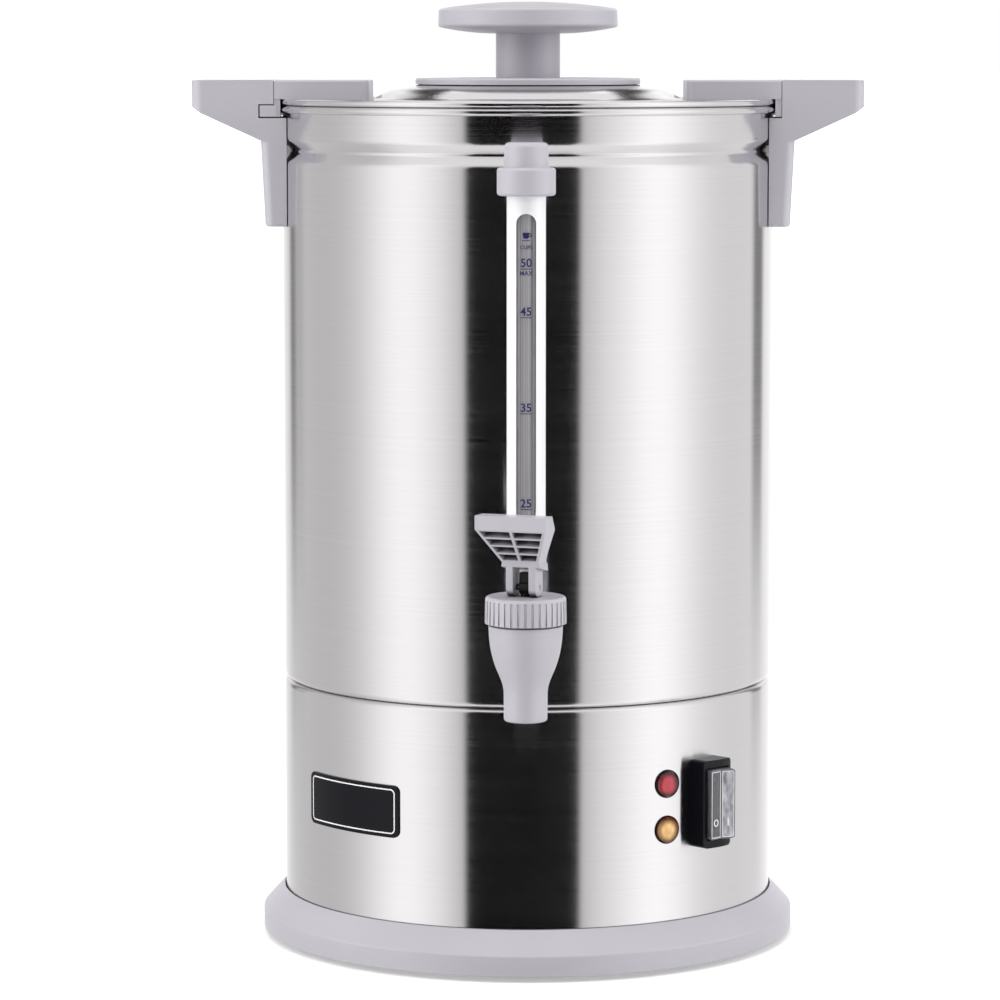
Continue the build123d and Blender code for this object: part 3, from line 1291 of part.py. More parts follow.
with BuildPart() as tap_lever:
    # Paddle: a slab that leans forward under the lip, cut to its width in front view
    with BuildSketch(lever_side):
        with BuildLine():
            Polyline(
                (LEVER_REACH, lip_top),
                (LEVER_REACH, lip_low),
                (LEVER_SLOPE_START, slope_z),
                (leg_front, slope_z - 2.0),
                (-LEVER_LEG_BACK, slope_z - 4.0),
                (-LEVER_LEG_BACK - 1.0, slope_z - 1.0),
                (1.0, slope_z + 4.0),
                (back_x - 2.0, lip_top),
                close=True,
            )
        make_face()
    extrude(amount=LEVER_WIDTH / 2, both=True)
    with BuildSketch(lever_front.offset(-2 * LEVER_REACH)):
        with BuildLine():
            Polyline(
                (-lip_half, lip_top),
                (-lip_half, lip_low),
                (-low_half, slope_z),
                (-foot_half, slope_z - LEVER_FOOT_DROP),
                (foot_half, slope_z - LEVER_FOOT_DROP),
                (low_half, slope_z),
                (lip_half, lip_low),
                (lip_half, lip_top),
                close=True,
            )
        make_face()
    extrude(amount=4 * LEVER_REACH, mode=Mode.INTERSECT)
    # Two rows of pockets in the sloping face leave the ribs standing
    for row in range(LEVER_POCKET_COUNT):
        low = LEVER_RIB + row * pocket_pitch
        high = low + pocket_pitch - LEVER_RIB
        for hand in (-1, 1):
            with BuildSketch(slope_plane):
                with BuildLine():
                    Polyline(
                        (hand * LEVER_MID_RIB / 2, low),
                        (hand * pocket_half(low), low),
                        (hand * pocket_half(high), high),
                        (hand * LEVER_MID_RIB / 2, high),
                        close=True,
                    )
                make_face()
            extrude(amount=LEVER_POCKET, mode=Mode.SUBTRACT)
    # Two legs, flat cheeks that end in round cam heels
    for inner_face in (LEVER_GAP / 2, -LEVER_GAP / 2 - LEVER_LEG):
        with BuildSketch(lever_side.offset(inner_face)):
            with BuildLine():
                Line((-LEVER_LEG_BACK, leg_top), (leg_front, leg_top))
                Line((leg_front, leg_top), (leg_front, pin_z))
                RadiusArc((leg_front, pin_z), (LEVER_CAM, heel_z), LEVER_HEEL)
                Line((LEVER_CAM, heel_z), (-LEVER_LEG_BACK, heel_z))
                Line((-LEVER_LEG_BACK, heel_z), (-LEVER_LEG_BACK, leg_top))
            make_face()
        extrude(amount=LEVER_LEG)
    with BuildSketch(lever_side):
        with Locations((0, pin_z)):
            Circle(LEVER_PIN_RADIUS)
    extrude(amount=LEVER_WIDTH, both=True, mode=Mode.SUBTRACT)
finish(tap_lever, "tap_lever")

with BuildPart() as lever_pin:
    with BuildSketch(lever_side):
        with Locations((0, pin_z)):
            Circle(LEVER_PIN_RADIUS - LEVER_PIN_FIT)
    extrude(amount=LEVER_GAP / 2 + LEVER_LEG, both=True)
finish(lever_pin, "lever_pin")

# ------------------------------------------------------------------ heater

plate_bore = WELL_RADIUS + PLATE_BORE_GAP
boil_circle = plate_radius - BOIL_INSET
warm_circle = boil_circle - ELEMENT_SPACING
with BuildPart() as heat_plate:
    with BuildSketch(Plane.XY.offset(plate_z)):
        Circle(plate_radius)
        Circle(plate_bore, mode=Mode.SUBTRACT)
        with PolarLocations(plate_stud_circle, STUD_COUNT, start_angle=90):
            Circle(PLATE_STUD_RADIUS + HOLE_GAP, mode=Mode.SUBTRACT)
    extrude(amount=PLATE_THICKNESS)
    for ring_r, rod in ((boil_circle, BOIL_ELEMENT_RADIUS), (warm_circle, WARM_ELEMENT_RADIUS)):
        with BuildSketch(Plane.XZ):
            with Locations((ring_r, plate_z)):
                Circle(rod)
        revolve(axis=Axis.Z, mode=Mode.SUBTRACT)
finish(heat_plate, "heat_plate")


def build_element(ring_r, rod):
    """A tubular element: an open ring in the plate's groove with two upright cold tails.

    Args:
        ring_r: radius of the ring.
        rod: radius of the element's tube.
    """
    with BuildPart() as element:
        with BuildSketch(Plane.XZ):
            with Locations((ring_r, plate_z)):
                Circle(rod)
        revolve(axis=Axis.Z, revolution_arc=ELEMENT_SWEEP)
        ends = [math.radians(a) for a in (0, -ELEMENT_SWEEP)]
        with BuildSketch(Plane.XY.offset(plate_z - ELEMENT_TAIL_SINK)):
            with Locations([(ring_r * math.cos(a), ring_r * math.sin(a)) for a in ends]):
                Circle(rod + ELEMENT_TAIL_WALL)
        extrude(amount=-ELEMENT_TAIL)
    return element


boil_element = build_element(boil_circle, BOIL_ELEMENT_RADIUS)
finish(boil_element, "boil_element")
warm_element = build_element(warm_circle, WARM_ELEMENT_RADIUS)
finish(warm_element, "warm_element")

with BuildPart() as plate_nuts:
    with BuildSketch(Plane.XY.offset(plate_z)):
        with PolarLocations(plate_stud_circle, STUD_COUNT, start_angle=90):
            RegularPolygon(PLATE_NUT_HALF_WIDTH, 6, major_radius=False)
            Circle(PLATE_STUD_RADIUS, mode=Mode.SUBTRACT)
    extrude(amount=-PLATE_NUT_THICKNESS)
finish(plate_nuts, "plate_nuts")

well_under = well_z - TANK_SHEET


def build_thermostat(side):
    """A disc thermostat: steel cup against the well, moulded body and two blades.

    Args:
        side: -1 for the one on the left, +1 for the one on the right.
    """
    with BuildPart() as thermostat:
        with BuildSketch(Plane.XY.offset(well_under)):
            with Locations((side * THERMOSTAT_OFFSET, 0)):
                Circle(THERMOSTAT_RADIUS)
        extrude(amount=-THERMOSTAT_CUP)
        with BuildSketch(Plane.XY.offset(well_under - THERMOSTAT_CUP)):
            with Locations((side * THERMOSTAT_OFFSET, 0)):
                Circle(THERMOSTAT_RADIUS - THERMOSTAT_BODY_STEP)
        extrude(amount=-(THERMOSTAT_HEIGHT - THERMOSTAT_CUP))
        with BuildSketch(Plane.XY.offset(well_under - 2 * THERMOSTAT_CUP)):
            with Locations((side * THERMOSTAT_OFFSET, 0)):
                with GridLocations(0, 2 * BLADE_SPREAD, 1, 2):
                    Rectangle(BLADE_WIDTH, BLADE_LENGTH)
        extrude(amount=-BLADE_THICKNESS)
    return thermostat


boil_thermostat = build_thermostat(-1)
finish(boil_thermostat, "boil_thermostat")
warm_thermostat = build_thermostat(1)
finish(warm_thermostat, "warm_thermostat")

strap_low = well_under - THERMOSTAT_HEIGHT
strap_half = plate_bore + STRAP_LANDING
strap_knee = strap_half - STRAP_FOOT
strap_flat = strap_knee - STRAP_SLOPE
with BuildPart() as thermostat_strap:
    with BuildSketch(Plane.XZ):
        with BuildLine():
            Polyline(
                (-strap_half, plate_z - STRAP_SHEET / 2),
                (-strap_knee, plate_z - STRAP_SHEET / 2),
                (-strap_flat, strap_low - STRAP_SHEET / 2),
                (strap_flat, strap_low - STRAP_SHEET / 2),
                (strap_knee, plate_z - STRAP_SHEET / 2),
                (strap_half, plate_z - STRAP_SHEET / 2),
            )
        trace(line_width=STRAP_SHEET)
    extrude(amount=STRAP_HALF_WIDTH, both=True)
finish(thermostat_strap, "thermostat_strap")

with BuildPart() as strap_screws:
    with BuildSketch(Plane.XY.offset(plate_z - STRAP_SHEET)):
        with GridLocations(2 * strap_half - STRAP_FOOT, 0, 2, 1):
            Circle(STRAP_SCREW_RADIUS)
    extrude(amount=-STRAP_SCREW_HEIGHT)
finish(strap_screws, "strap_screws")

fuse_y = -(plate_radius + boil_circle + BOIL_ELEMENT_RADIUS) / 2
fuse_plane = Plane(origin=(0, fuse_y, plate_z - FUSE_RADIUS), z_dir=(1, 0, 0))
with BuildPart() as thermal_fuse:
    with BuildSketch(fuse_plane):
        Circle(FUSE_RADIUS)
    extrude(amount=FUSE_LENGTH / 2, both=True)
    with BuildSketch(fuse_plane):
        Circle(FUSE_LEAD_RADIUS)
    extrude(amount=FUSE_LENGTH / 2 + FUSE_LEAD_LENGTH, both=True)
finish(thermal_fuse, "thermal_fuse")

block_y = stud_circle - BLOCK_WIDTH / 4
with BuildPart() as terminal_block:
    with BuildSketch(Plane.XY.offset(dish_z)):
        with Locations((0, block_y)):
            RectangleRounded(BLOCK_LENGTH, BLOCK_WIDTH, 1.0)
    extrude(amount=BLOCK_HEIGHT)
    with BuildSketch(Plane.XY.offset(dish_z + BLOCK_HEIGHT)):
        with Locations((0, block_y)):
            with GridLocations(BLOCK_WAY_SPACING, 0, BLOCK_WAY_COUNT, 1):
                Circle(BLOCK_WAY_RADIUS)
    extrude(amount=-BLOCK_WAY_DEPTH, mode=Mode.SUBTRACT)
finish(terminal_block, "terminal_block")

# ------------------------------------------------------------------ switch and lamps

switch_plane = wall_plane(SWITCH_ANGLE, switch_z, TANK_RADIUS)
# Level plane through the switch: local x is to the right, y is outward
switch_top = Plane(
    origin=switch_plane.origin, x_dir=switch_plane.x_dir, z_dir=-switch_plane.y_dir
)
frame_half = SWITCH_WIDTH / 2
frame_edge = SWITCH_PROUD - SWITCH_CROWN

with BuildPart() as switch_housing:
    # Frame: a block with a bowed front, rounded at its four corners in front view
    with BuildSketch(switch_top.offset(-SWITCH_TALL / 2)):
        with BuildLine():
            Line((-frame_half, frame_edge), (-frame_half, -SWITCH_CORNER))
            Line((-frame_half, -SWITCH_CORNER), (frame_half, -SWITCH_CORNER))
            Line((frame_half, -SWITCH_CORNER), (frame_half, frame_edge))
            ThreePointArc((frame_half, frame_edge), (0, SWITCH_PROUD), (-frame_half, frame_edge))
        make_face()
    extrude(amount=SWITCH_TALL)
    with BuildSketch(switch_plane.offset(-SWITCH_CORNER)):
        RectangleRounded(SWITCH_WIDTH, SWITCH_TALL, SWITCH_CORNER)
    extrude(amount=SWITCH_PROUD + SWITCH_CORNER, mode=Mode.INTERSECT)
    with Locations((0, 0, switch_z)):
        Cylinder(TANK_RADIUS, 2 * SWITCH_TALL, mode=Mode.SUBTRACT)
    # Body behind the skirt, and the well that the rocker turns in
    with BuildSketch(switch_plane.offset(-SWITCH_DEPTH)):
        Rectangle(SWITCH_WINDOW_WIDTH, SWITCH_WINDOW_TALL)
    extrude(amount=SWITCH_DEPTH + SWITCH_BACK)
    with BuildSketch(switch_plane.offset(SWITCH_BACK)):
        Rectangle(SWITCH_WINDOW_WIDTH, SWITCH_WINDOW_TALL)
    extrude(amount=SWITCH_PROUD, mode=Mode.SUBTRACT)
finish(switch_housing, "switch_housing")

with BuildPart() as switch_terminals:
    with BuildSketch(switch_plane.offset(-SWITCH_DEPTH)):
        with GridLocations(0, SWITCH_TAB_SPACING, 1, SWITCH_TAB_COUNT):
            Rectangle(BLADE_WIDTH, BLADE_THICKNESS)
    extrude(amount=-BLADE_LENGTH)
finish(switch_terminals, "switch_terminals")

# The rocker stands tilted with its left half pressed in, and swings on an upright axis
rocker_half = SWITCH_WINDOW_WIDTH / 2 - ROCKER_GAP
rocker_tall = SWITCH_WINDOW_TALL - 2 * ROCKER_GAP
rocker_slope = math.tan(math.radians(ROCKER_SWING / 2))
rocker_plane = Plane(
    origin=switch_plane.offset(SWITCH_PROUD - ROCKER_AXIS_SINK).origin,
    x_dir=switch_top.x_dir,
    z_dir=switch_top.z_dir,
).rotated((0, 0, -ROCKER_SWING / 2))
inner_half = rocker_half - CAP_WALL
inner_tall = rocker_tall - 2 * CAP_WALL
inner_valley = ROCKER_VALLEY - CAP_WALL
cap_edge_y = ROCKER_VALLEY + rocker_half * rocker_slope
rocker_edge_y = inner_valley + inner_half * rocker_slope

with BuildPart() as switch_boot:
    with BuildSketch(rocker_plane.offset(-rocker_tall / 2)):
        with BuildLine():
            Polyline(
                (-rocker_half, -ROCKER_SKIRT),
                (-rocker_half, cap_edge_y),
                (0, ROCKER_VALLEY),
                (rocker_half, cap_edge_y),
                (rocker_half, -ROCKER_SKIRT),
                close=True,
            )
        make_face()
    extrude(amount=rocker_tall)
    ends = switch_boot.faces().sort_by(Axis.Z)
    chamfer([*ends[0].edges(), *ends[-1].edges()], length=CAP_EDGE)
    with BuildSketch(rocker_plane.offset(-inner_tall / 2)):
        with BuildLine():
            Polyline(
                (-inner_half, -2 * ROCKER_SKIRT),
                (-inner_half, rocker_edge_y),
                (0, inner_valley),
                (inner_half, rocker_edge_y),
                (inner_half, -2 * ROCKER_SKIRT),
                close=True,
            )
        make_face()
    extrude(amount=inner_tall, mode=Mode.SUBTRACT)
finish(switch_boot, "switch_boot")

with BuildPart() as switch_rocker:
    with BuildSketch(rocker_plane.offset(-inner_tall / 2)):
        with BuildLine():
            Polyline(
                (-inner_half, -ROCKER_SKIRT),
                (-inner_half, rocker_edge_y),
                (0, inner_valley),
                (inner_half, rocker_edge_y),
                (inner_half, -ROCKER_SKIRT),
                (ROCKER_ROOT_HALF_WIDTH, -ROCKER_ROOT),
                (-ROCKER_ROOT_HALF_WIDTH, -ROCKER_ROOT),
                close=True,
            )
        make_face()
    extrude(amount=inner_tall)
finish(switch_rocker, "switch_rocker")

with BuildPart() as lamp_bezels:
    for lamp_rise in LAMP_HEIGHTS:
        with BuildSketch(wall_plane(LAMP_ANGLE, ledge_z + lamp_rise, TANK_RADIUS - LENS_INSIDE)):
            Circle(LAMP_RADIUS)
            Circle(LENS_RADIUS + LENS_FIT, mode=Mode.SUBTRACT)
        extrude(amount=LENS_INSIDE + LAMP_BEZEL_PROUD)
    with Locations((0, 0, switch_z)):
        Cylinder(TANK_RADIUS, 2 * SWITCH_TALL, mode=Mode.SUBTRACT)
finish(lamp_bezels, "lamp_bezels")


def build_lens(rise):
    """A lamp's lens: a short barrel through the skirt with a domed front.

    Args:
        rise: height of the lens's middle above the skirt's foot.
    """
    back = wall_plane(LAMP_ANGLE, ledge_z + rise, TANK_RADIUS - LENS_INSIDE)
    barrel = LENS_INSIDE + LENS_PROUD - LENS_CROWN
    with BuildPart() as lens:
        with BuildSketch(back):
            Circle(LENS_RADIUS)
        extrude(amount=barrel)
        with BuildSketch(back.offset(barrel)):
            Circle(LENS_RADIUS)
        extrude(amount=LENS_CROWN, taper=LENS_TAPER)
        fillet(lens.faces().sort_by(Axis((0, 0, 0), back.z_dir))[-1].edges(), radius=LENS_ROUND)
    return lens


lamp_red_lens = build_lens(LAMP_HEIGHTS[0])
finish(lamp_red_lens, "lamp_red_lens")
lamp_amber_lens = build_lens(LAMP_HEIGHTS[1])
finish(lamp_amber_lens, "lamp_amber_lens")

with BuildPart() as lamp_bodies:
    for lamp_rise in LAMP_HEIGHTS:
        lamp_back = wall_plane(LAMP_ANGLE, ledge_z + lamp_rise, TANK_RADIUS - LENS_INSIDE)
        with BuildSketch(lamp_back):
            Circle(LENS_RADIUS)
        extrude(amount=-LAMP_BODY_LENGTH)
        with BuildSketch(lamp_back.offset(-LAMP_BODY_LENGTH)):
            with GridLocations(LAMP_TAB_SPACING, 0, 2, 1):
                Rectangle(LAMP_TAB_THICKNESS, LAMP_TAB_WIDTH)
        extrude(amount=-LAMP_TAB_LENGTH)
finish(lamp_bodies, "lamp_bodies")

# ------------------------------------------------------------------ name plate and cord gland

name_plate_z = ledge_z + NAME_PLATE_RISE
with BuildPart() as name_plate:
    with BuildSketch(wall_plane(-PLATE_ANGLE, name_plate_z, drill_radius)):
        RectangleRounded(NAME_PLATE_WIDTH, NAME_PLATE_HEIGHT, NAME_PLATE_CORNER)
    extrude(amount=DRILL)
    with Locations((0, 0, name_plate_z)):
        Cylinder(TANK_RADIUS, 2 * NAME_PLATE_HEIGHT, mode=Mode.SUBTRACT)
        Cylinder(TANK_RADIUS + NAME_PLATE_SHEET, 2 * NAME_PLATE_HEIGHT, mode=Mode.INTERSECT)
finish(name_plate, "name_plate")

gland_back = wall_plane(180, gland_z, TANK_RADIUS - GLAND_INSIDE)
gland_seat = wall_plane(180, gland_z, TANK_RADIUS + RING_GAP)
with BuildPart() as cord_gland:
    with BuildSketch(gland_back):
        Circle(GLAND_RADIUS)
    extrude(amount=GLAND_INSIDE + RING_GAP)
    with BuildSketch(gland_seat):
        Circle(GLAND_RADIUS + GLAND_FLANGE)
    extrude(amount=GLAND_FLANGE_THICKNESS)
    with BuildSketch(gland_seat.offset(GLAND_FLANGE_THICKNESS)):
        Circle(GLAND_RADIUS)
    extrude(amount=GLAND_PROUD - GLAND_FLANGE_THICKNESS - RING_GAP, taper=GLAND_TAPER)
    with BuildSketch(gland_back):
        Circle(GLAND_BORE)
    extrude(amount=GLAND_INSIDE + GLAND_PROUD, mode=Mode.SUBTRACT)
finish(cord_gland, "cord_gland")

with BuildPart() as gland_nut:
    with BuildSketch(wall_plane(180, gland_z, TANK_RADIUS - 3 * SKIRT_SHEET)):
        RegularPolygon(GLAND_NUT_HALF_WIDTH, 6, major_radius=False)
        Circle(GLAND_RADIUS, mode=Mode.SUBTRACT)
    extrude(amount=-GLAND_NUT_THICKNESS)
finish(gland_nut, "gland_nut")
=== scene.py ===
"""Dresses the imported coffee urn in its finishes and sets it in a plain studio."""

from __future__ import annotations

import enum
import logging
import math
from collections.abc import Callable, Sequence
from dataclasses import dataclass, field

import bmesh
import bpy
from mathutils import Euler, Matrix, Vector

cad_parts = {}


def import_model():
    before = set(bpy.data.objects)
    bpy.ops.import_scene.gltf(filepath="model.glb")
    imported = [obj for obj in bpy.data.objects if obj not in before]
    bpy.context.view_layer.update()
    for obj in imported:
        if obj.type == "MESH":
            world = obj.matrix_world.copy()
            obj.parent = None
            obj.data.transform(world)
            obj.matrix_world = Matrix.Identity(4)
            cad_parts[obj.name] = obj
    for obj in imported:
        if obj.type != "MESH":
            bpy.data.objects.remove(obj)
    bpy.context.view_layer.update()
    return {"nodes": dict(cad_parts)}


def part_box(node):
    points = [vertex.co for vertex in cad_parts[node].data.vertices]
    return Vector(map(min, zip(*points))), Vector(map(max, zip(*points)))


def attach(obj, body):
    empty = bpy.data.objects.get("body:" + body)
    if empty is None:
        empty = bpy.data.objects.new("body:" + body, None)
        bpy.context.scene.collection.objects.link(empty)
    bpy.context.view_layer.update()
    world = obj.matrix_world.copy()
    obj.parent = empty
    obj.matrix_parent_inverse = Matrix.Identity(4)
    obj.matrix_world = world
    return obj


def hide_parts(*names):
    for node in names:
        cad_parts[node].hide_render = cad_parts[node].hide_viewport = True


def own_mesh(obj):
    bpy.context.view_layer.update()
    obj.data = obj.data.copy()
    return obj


LOG = logging.getLogger("coffee_urn")
MM = 0.001

NOISE_MIDDLE = (0.3, 0.7)  # where nearly all of a noise's values lie
SHARP_ANGLE = math.radians(40)  # edges sharper than this stay sharp on turned walls
CORNER_SHARE = 0.49  # of a side that the rounding of one of its corners may take up
LONGEST_EDGE = 1.2  # of a print, in millimetres, so that it follows a round wall
MOST_SPLITS = 4  # of a print's long edges
SAME_PLACE = 1e-4  # millimetres between points that are one
CAPITAL_TO_SIZE = 1.38  # size of the characters over the height of a capital
LETTER_WEIGHT = 0.016  # how much the strokes are thickened, as a share of the size
LETTER_STEPS = 4  # on each curve of a character

Colour = tuple[float, float, float]
Triple = tuple[float, float, float]
Point = tuple[float, float]


# ---------------------------------------------------------------- finishes


class Graph:
    """Builds the node graph of one material around its main shader."""

    def __init__(self, name: str) -> None:
        """Start a material.

        Args:
            name: the material's name.
        """
        self.material = bpy.data.materials.new(name)
        self.material.use_nodes = True
        self.nodes = self.material.node_tree.nodes
        self.links = self.material.node_tree.links
        self.shader = self.nodes["Principled BSDF"]

    def set(self, **values: float | Colour) -> None:
        """Set constants on the main shader's own sockets.

        Args:
            values: the sockets' names, with underscores for spaces, and their values.
        """
        for name, value in values.items():
            socket = self.shader.inputs[name.replace("_", " ")]
            socket.default_value = (*value, 1.0) if socket.type == "RGBA" else value

    def add(self, kind: str, **settings: object) -> bpy.types.Node:
        """Add a node.

        Args:
            kind: the node's type.
            settings: attributes of the node, or its inputs by name with underscores.

        Returns:
            The new node.
        """
        node = self.nodes.new(kind)
        for name, value in settings.items():
            if hasattr(node, name):
                setattr(node, name, value)
            else:
                node.inputs[name.replace("_", " ")].default_value = value
        return node

    def join(self, start: bpy.types.NodeSocket, end: bpy.types.NodeSocket) -> None:
        """Link an output to an input."""
        self.links.new(start, end)

    def feed(self, name: str, value: bpy.types.NodeSocket) -> None:
        """Link an output to the main shader's input of that name."""
        self.links.new(value, self.shader.inputs[name])

    def combine(
        self, kind: str, operation: str, *parts: bpy.types.NodeSocket | float | Triple
    ) -> bpy.types.NodeSocket:
        """Combine numbers or vectors.

        Args:
            kind: Math or VectorMath.
            operation: what is done with them.
            parts: the outputs or constants that are combined.

        Returns:
            The socket of the result.
        """
        node = self.add(f"ShaderNode{kind}", operation=operation)
        for part, socket in zip(parts, node.inputs):
            if isinstance(part, bpy.types.NodeSocket):
                self.join(part, socket)
            else:
                socket.default_value = part
        return node.outputs["Value" if operation == "LENGTH" else 0]

    def place(self, stretch: float | Triple) -> bpy.types.NodeSocket:
        """Object coordinates, stretched.

        Args:
            stretch: repeats per metre, the same along all axes or along x, y and z.

        Returns:
            The socket of the stretched coordinates.
        """
        here = self.add("ShaderNodeTexCoord").outputs["Object"]
        each = (stretch,) * 3 if isinstance(stretch, float) else stretch
        return self.combine("VectorMath", "MULTIPLY", here, each)

    def noise(self, stretch: float | Triple, detail: float = 2.0) -> bpy.types.NodeSocket:
        """Smooth noise in object coordinates.

        Args:
            stretch: features per metre, the same along all axes or along x, y and z.
            detail: octaves of finer noise.

        Returns:
            The socket of the noise's value, about 0.5.
        """
        noise = self.add("ShaderNodeTexNoise", Scale=1.0, Detail=detail)
        self.join(self.place(stretch), noise.inputs["Vector"])
        return noise.outputs["Fac"]

    def ramp(
        self, value: bpy.types.NodeSocket, source: Point, result: Point, smooth: bool = False
    ) -> bpy.types.NodeSocket:
        """Map one range onto another.

        Args:
            value: the value.
            source: the ends of its range.
            result: what they are mapped onto.
            smooth: whether it eases in and out.

        Returns:
            The socket of the mapped value.
        """
        node = self.add("ShaderNodeMapRange")
        if smooth:
            node.interpolation_type = "SMOOTHSTEP"
        self.join(value, node.inputs["Value"])
        for name, end in zip(("From Min", "From Max", "To Min", "To Max"), (*source, *result)):
            node.inputs[name].default_value = end
        return node.outputs["Result"]

    def span(self, noise: bpy.types.NodeSocket, low: float, high: float) -> bpy.types.NodeSocket:
        """Map the middle part of a noise onto the range from low to high."""
        return self.ramp(noise, NOISE_MIDDLE, (low, high))

    def around(
        self, noise: bpy.types.NodeSocket, level: float, spread: float
    ) -> bpy.types.NodeSocket:
        """Map the middle part of a noise onto a level, give or take a spread."""
        return self.span(noise, level - spread, level + spread)

    def relief(self, height: bpy.types.NodeSocket, depth: float, strength: float) -> None:
        """Give the surface a fine relief.

        Args:
            height: the relief's height.
            depth: its depth in millimetres.
            strength: how much of it shows.
        """
        bump = self.add("ShaderNodeBump", Strength=strength, Distance=depth * MM)
        self.join(height, bump.inputs["Height"])
        self.feed("Normal", bump.outputs["Normal"])

    def tint(self, value: bpy.types.NodeSocket, dark: Colour, light: Colour) -> None:
        """Vary the base colour.

        Args:
            value: 0 for the darker colour, 1 for the lighter.
            dark: the darker colour.
            light: the lighter colour.
        """
        mix = self.add("ShaderNodeMix", data_type="RGBA")
        self.join(value, mix.inputs["Factor"])
        mix.inputs[6].default_value = (*dark, 1.0)
        mix.inputs[7].default_value = (*light, 1.0)
        self.feed("Base Color", mix.outputs[2])

    def mottle(self, noise: bpy.types.NodeSocket, share: float, colour: Colour) -> None:
        """Darken the base colour, to a share of it where the noise is low."""
        self.tint(self.span(noise, 0.0, 1.0), shaded(colour, share), colour)


def shaded(colour: Colour, share: float) -> Colour:
    """Give a share of a colour."""
    return tuple(share * part for part in colour)


class Brush(enum.Enum):
    """Which way a steel sheet is brushed: features per metre along x, y and z."""

    ROUND_THE_AXIS = (6.0, 6.0, 4200.0)
    SPUN = (700.0, 700.0, 700.0)
    MILL = (260.0, 260.0, 260.0)


@dataclass(frozen=True)
class Steel:
    """Stainless or plated steel."""

    name: str
    colour: Colour
    roughness: float
    brush: Brush
    anisotropy: float = 0.0
    rotation: float = 0.0
    grain: float = 0.004
    grain_strength: float = 0.2
    line_shade: float = 0.955
    line_gloss: float = 0.035
    cloud_gloss: float = 0.012
    clouds: float = 14.0

    def material(self) -> bpy.types.Material:
        """Build the steel's material.

        Returns:
            The material.
        """
        graph = Graph(self.name)
        graph.set(Metallic=1.0, Anisotropic=self.anisotropy, Anisotropic_Rotation=self.rotation)
        lines = graph.noise(self.brush.value, detail=4.0)
        cloud = graph.noise(self.clouds, detail=1.0)
        graph.mottle(lines, self.line_shade, self.colour)
        fine = graph.around(lines, 0.0, self.line_gloss)
        broad = graph.around(cloud, self.roughness, self.cloud_gloss)
        graph.feed("Roughness", graph.combine("Math", "ADD", fine, broad))
        graph.relief(lines, self.grain, self.grain_strength)
        if self.anisotropy:
            tangent = graph.add("ShaderNodeTangent", direction_type="RADIAL", axis="Z")
            graph.feed("Tangent", tangent.outputs[0])
        return graph.material


@dataclass(frozen=True)
class Moulding:
    """Moulded plastic with a fine grain; where wanted, its colour darkens in crevices by painted
    shade.
    """

    name: str
    colour: Colour
    roughness: float
    grain: float = 0.006
    specular: float = 0.5
    coat: float = 0.0
    # painted shade: how much the colour darkens in crevices and recesses, how far the occlusion
    # reaches, and its samples
    painted_crevice_shade: float = 0.0
    painted_shade_reach: float = 5.0
    painted_shade_samples: int = 8
    coat_roughness: float = 0.08
    grains: float = 2300.0
    grain_strength: float = 0.5
    clouds: float = 22.0
    cloud_shade: float = 0.965
    cloud_gloss: float = 0.03

    def material(self) -> bpy.types.Material:
        """Build the plastic's material.

        Returns:
            The material.
        """
        graph = Graph(self.name)
        graph.set(Coat_Weight=self.coat, Coat_Roughness=self.coat_roughness)
        graph.set(Specular_IOR_Level=self.specular)
        grain = graph.noise(self.grains, detail=3.0)
        cloud = graph.noise(self.clouds)
        # painted shade: an ambient occlusion node darkens the base colour in crevices and recesses,
        # where shade falls
        if self.painted_crevice_shade:
            shade = graph.add("ShaderNodeAmbientOcclusion", samples=self.painted_shade_samples)
            shade.inputs["Distance"].default_value = self.painted_shade_reach * MM
            graph.mottle(shade.outputs["AO"], 1.0 - self.painted_crevice_shade, self.colour)
        else:
            graph.mottle(cloud, self.cloud_shade, self.colour)
        graph.feed("Roughness", graph.around(cloud, self.roughness, self.cloud_gloss))
        graph.relief(grain, self.grain, self.grain_strength)
        return graph.material


@dataclass(frozen=True)
class Clear:
    """Clear or tinted glass or plastic, with milky streaks or swirls where it has them."""

    name: str
    colour: Colour
    roughness: float
    ior: float = 1.45
    milk: float = 0.0
    streaks: float = 0.0
    drawing: Triple = (900.0, 900.0, 1.2)
    ripples: Triple = (160.0, 160.0, 60.0)
    ripple_gloss: float = 0.3
    ripple_depth: float = 0.02
    ripple_strength: float = 0.25

    def material(self) -> bpy.types.Material:
        """Build the clear material.

        Returns:
            The material.
        """
        graph = Graph(self.name)
        graph.set(Transmission_Weight=1.0 - self.milk, IOR=self.ior, Base_Color=self.colour)
        if self.streaks:
            graph.mottle(graph.noise(self.drawing), 1.0 - self.streaks, self.colour)
        ripple = graph.noise(self.ripples, detail=1.0)
        spread = self.roughness * self.ripple_gloss
        graph.feed("Roughness", graph.around(ripple, self.roughness, spread))
        graph.relief(ripple, self.ripple_depth, self.ripple_strength)
        return graph.material


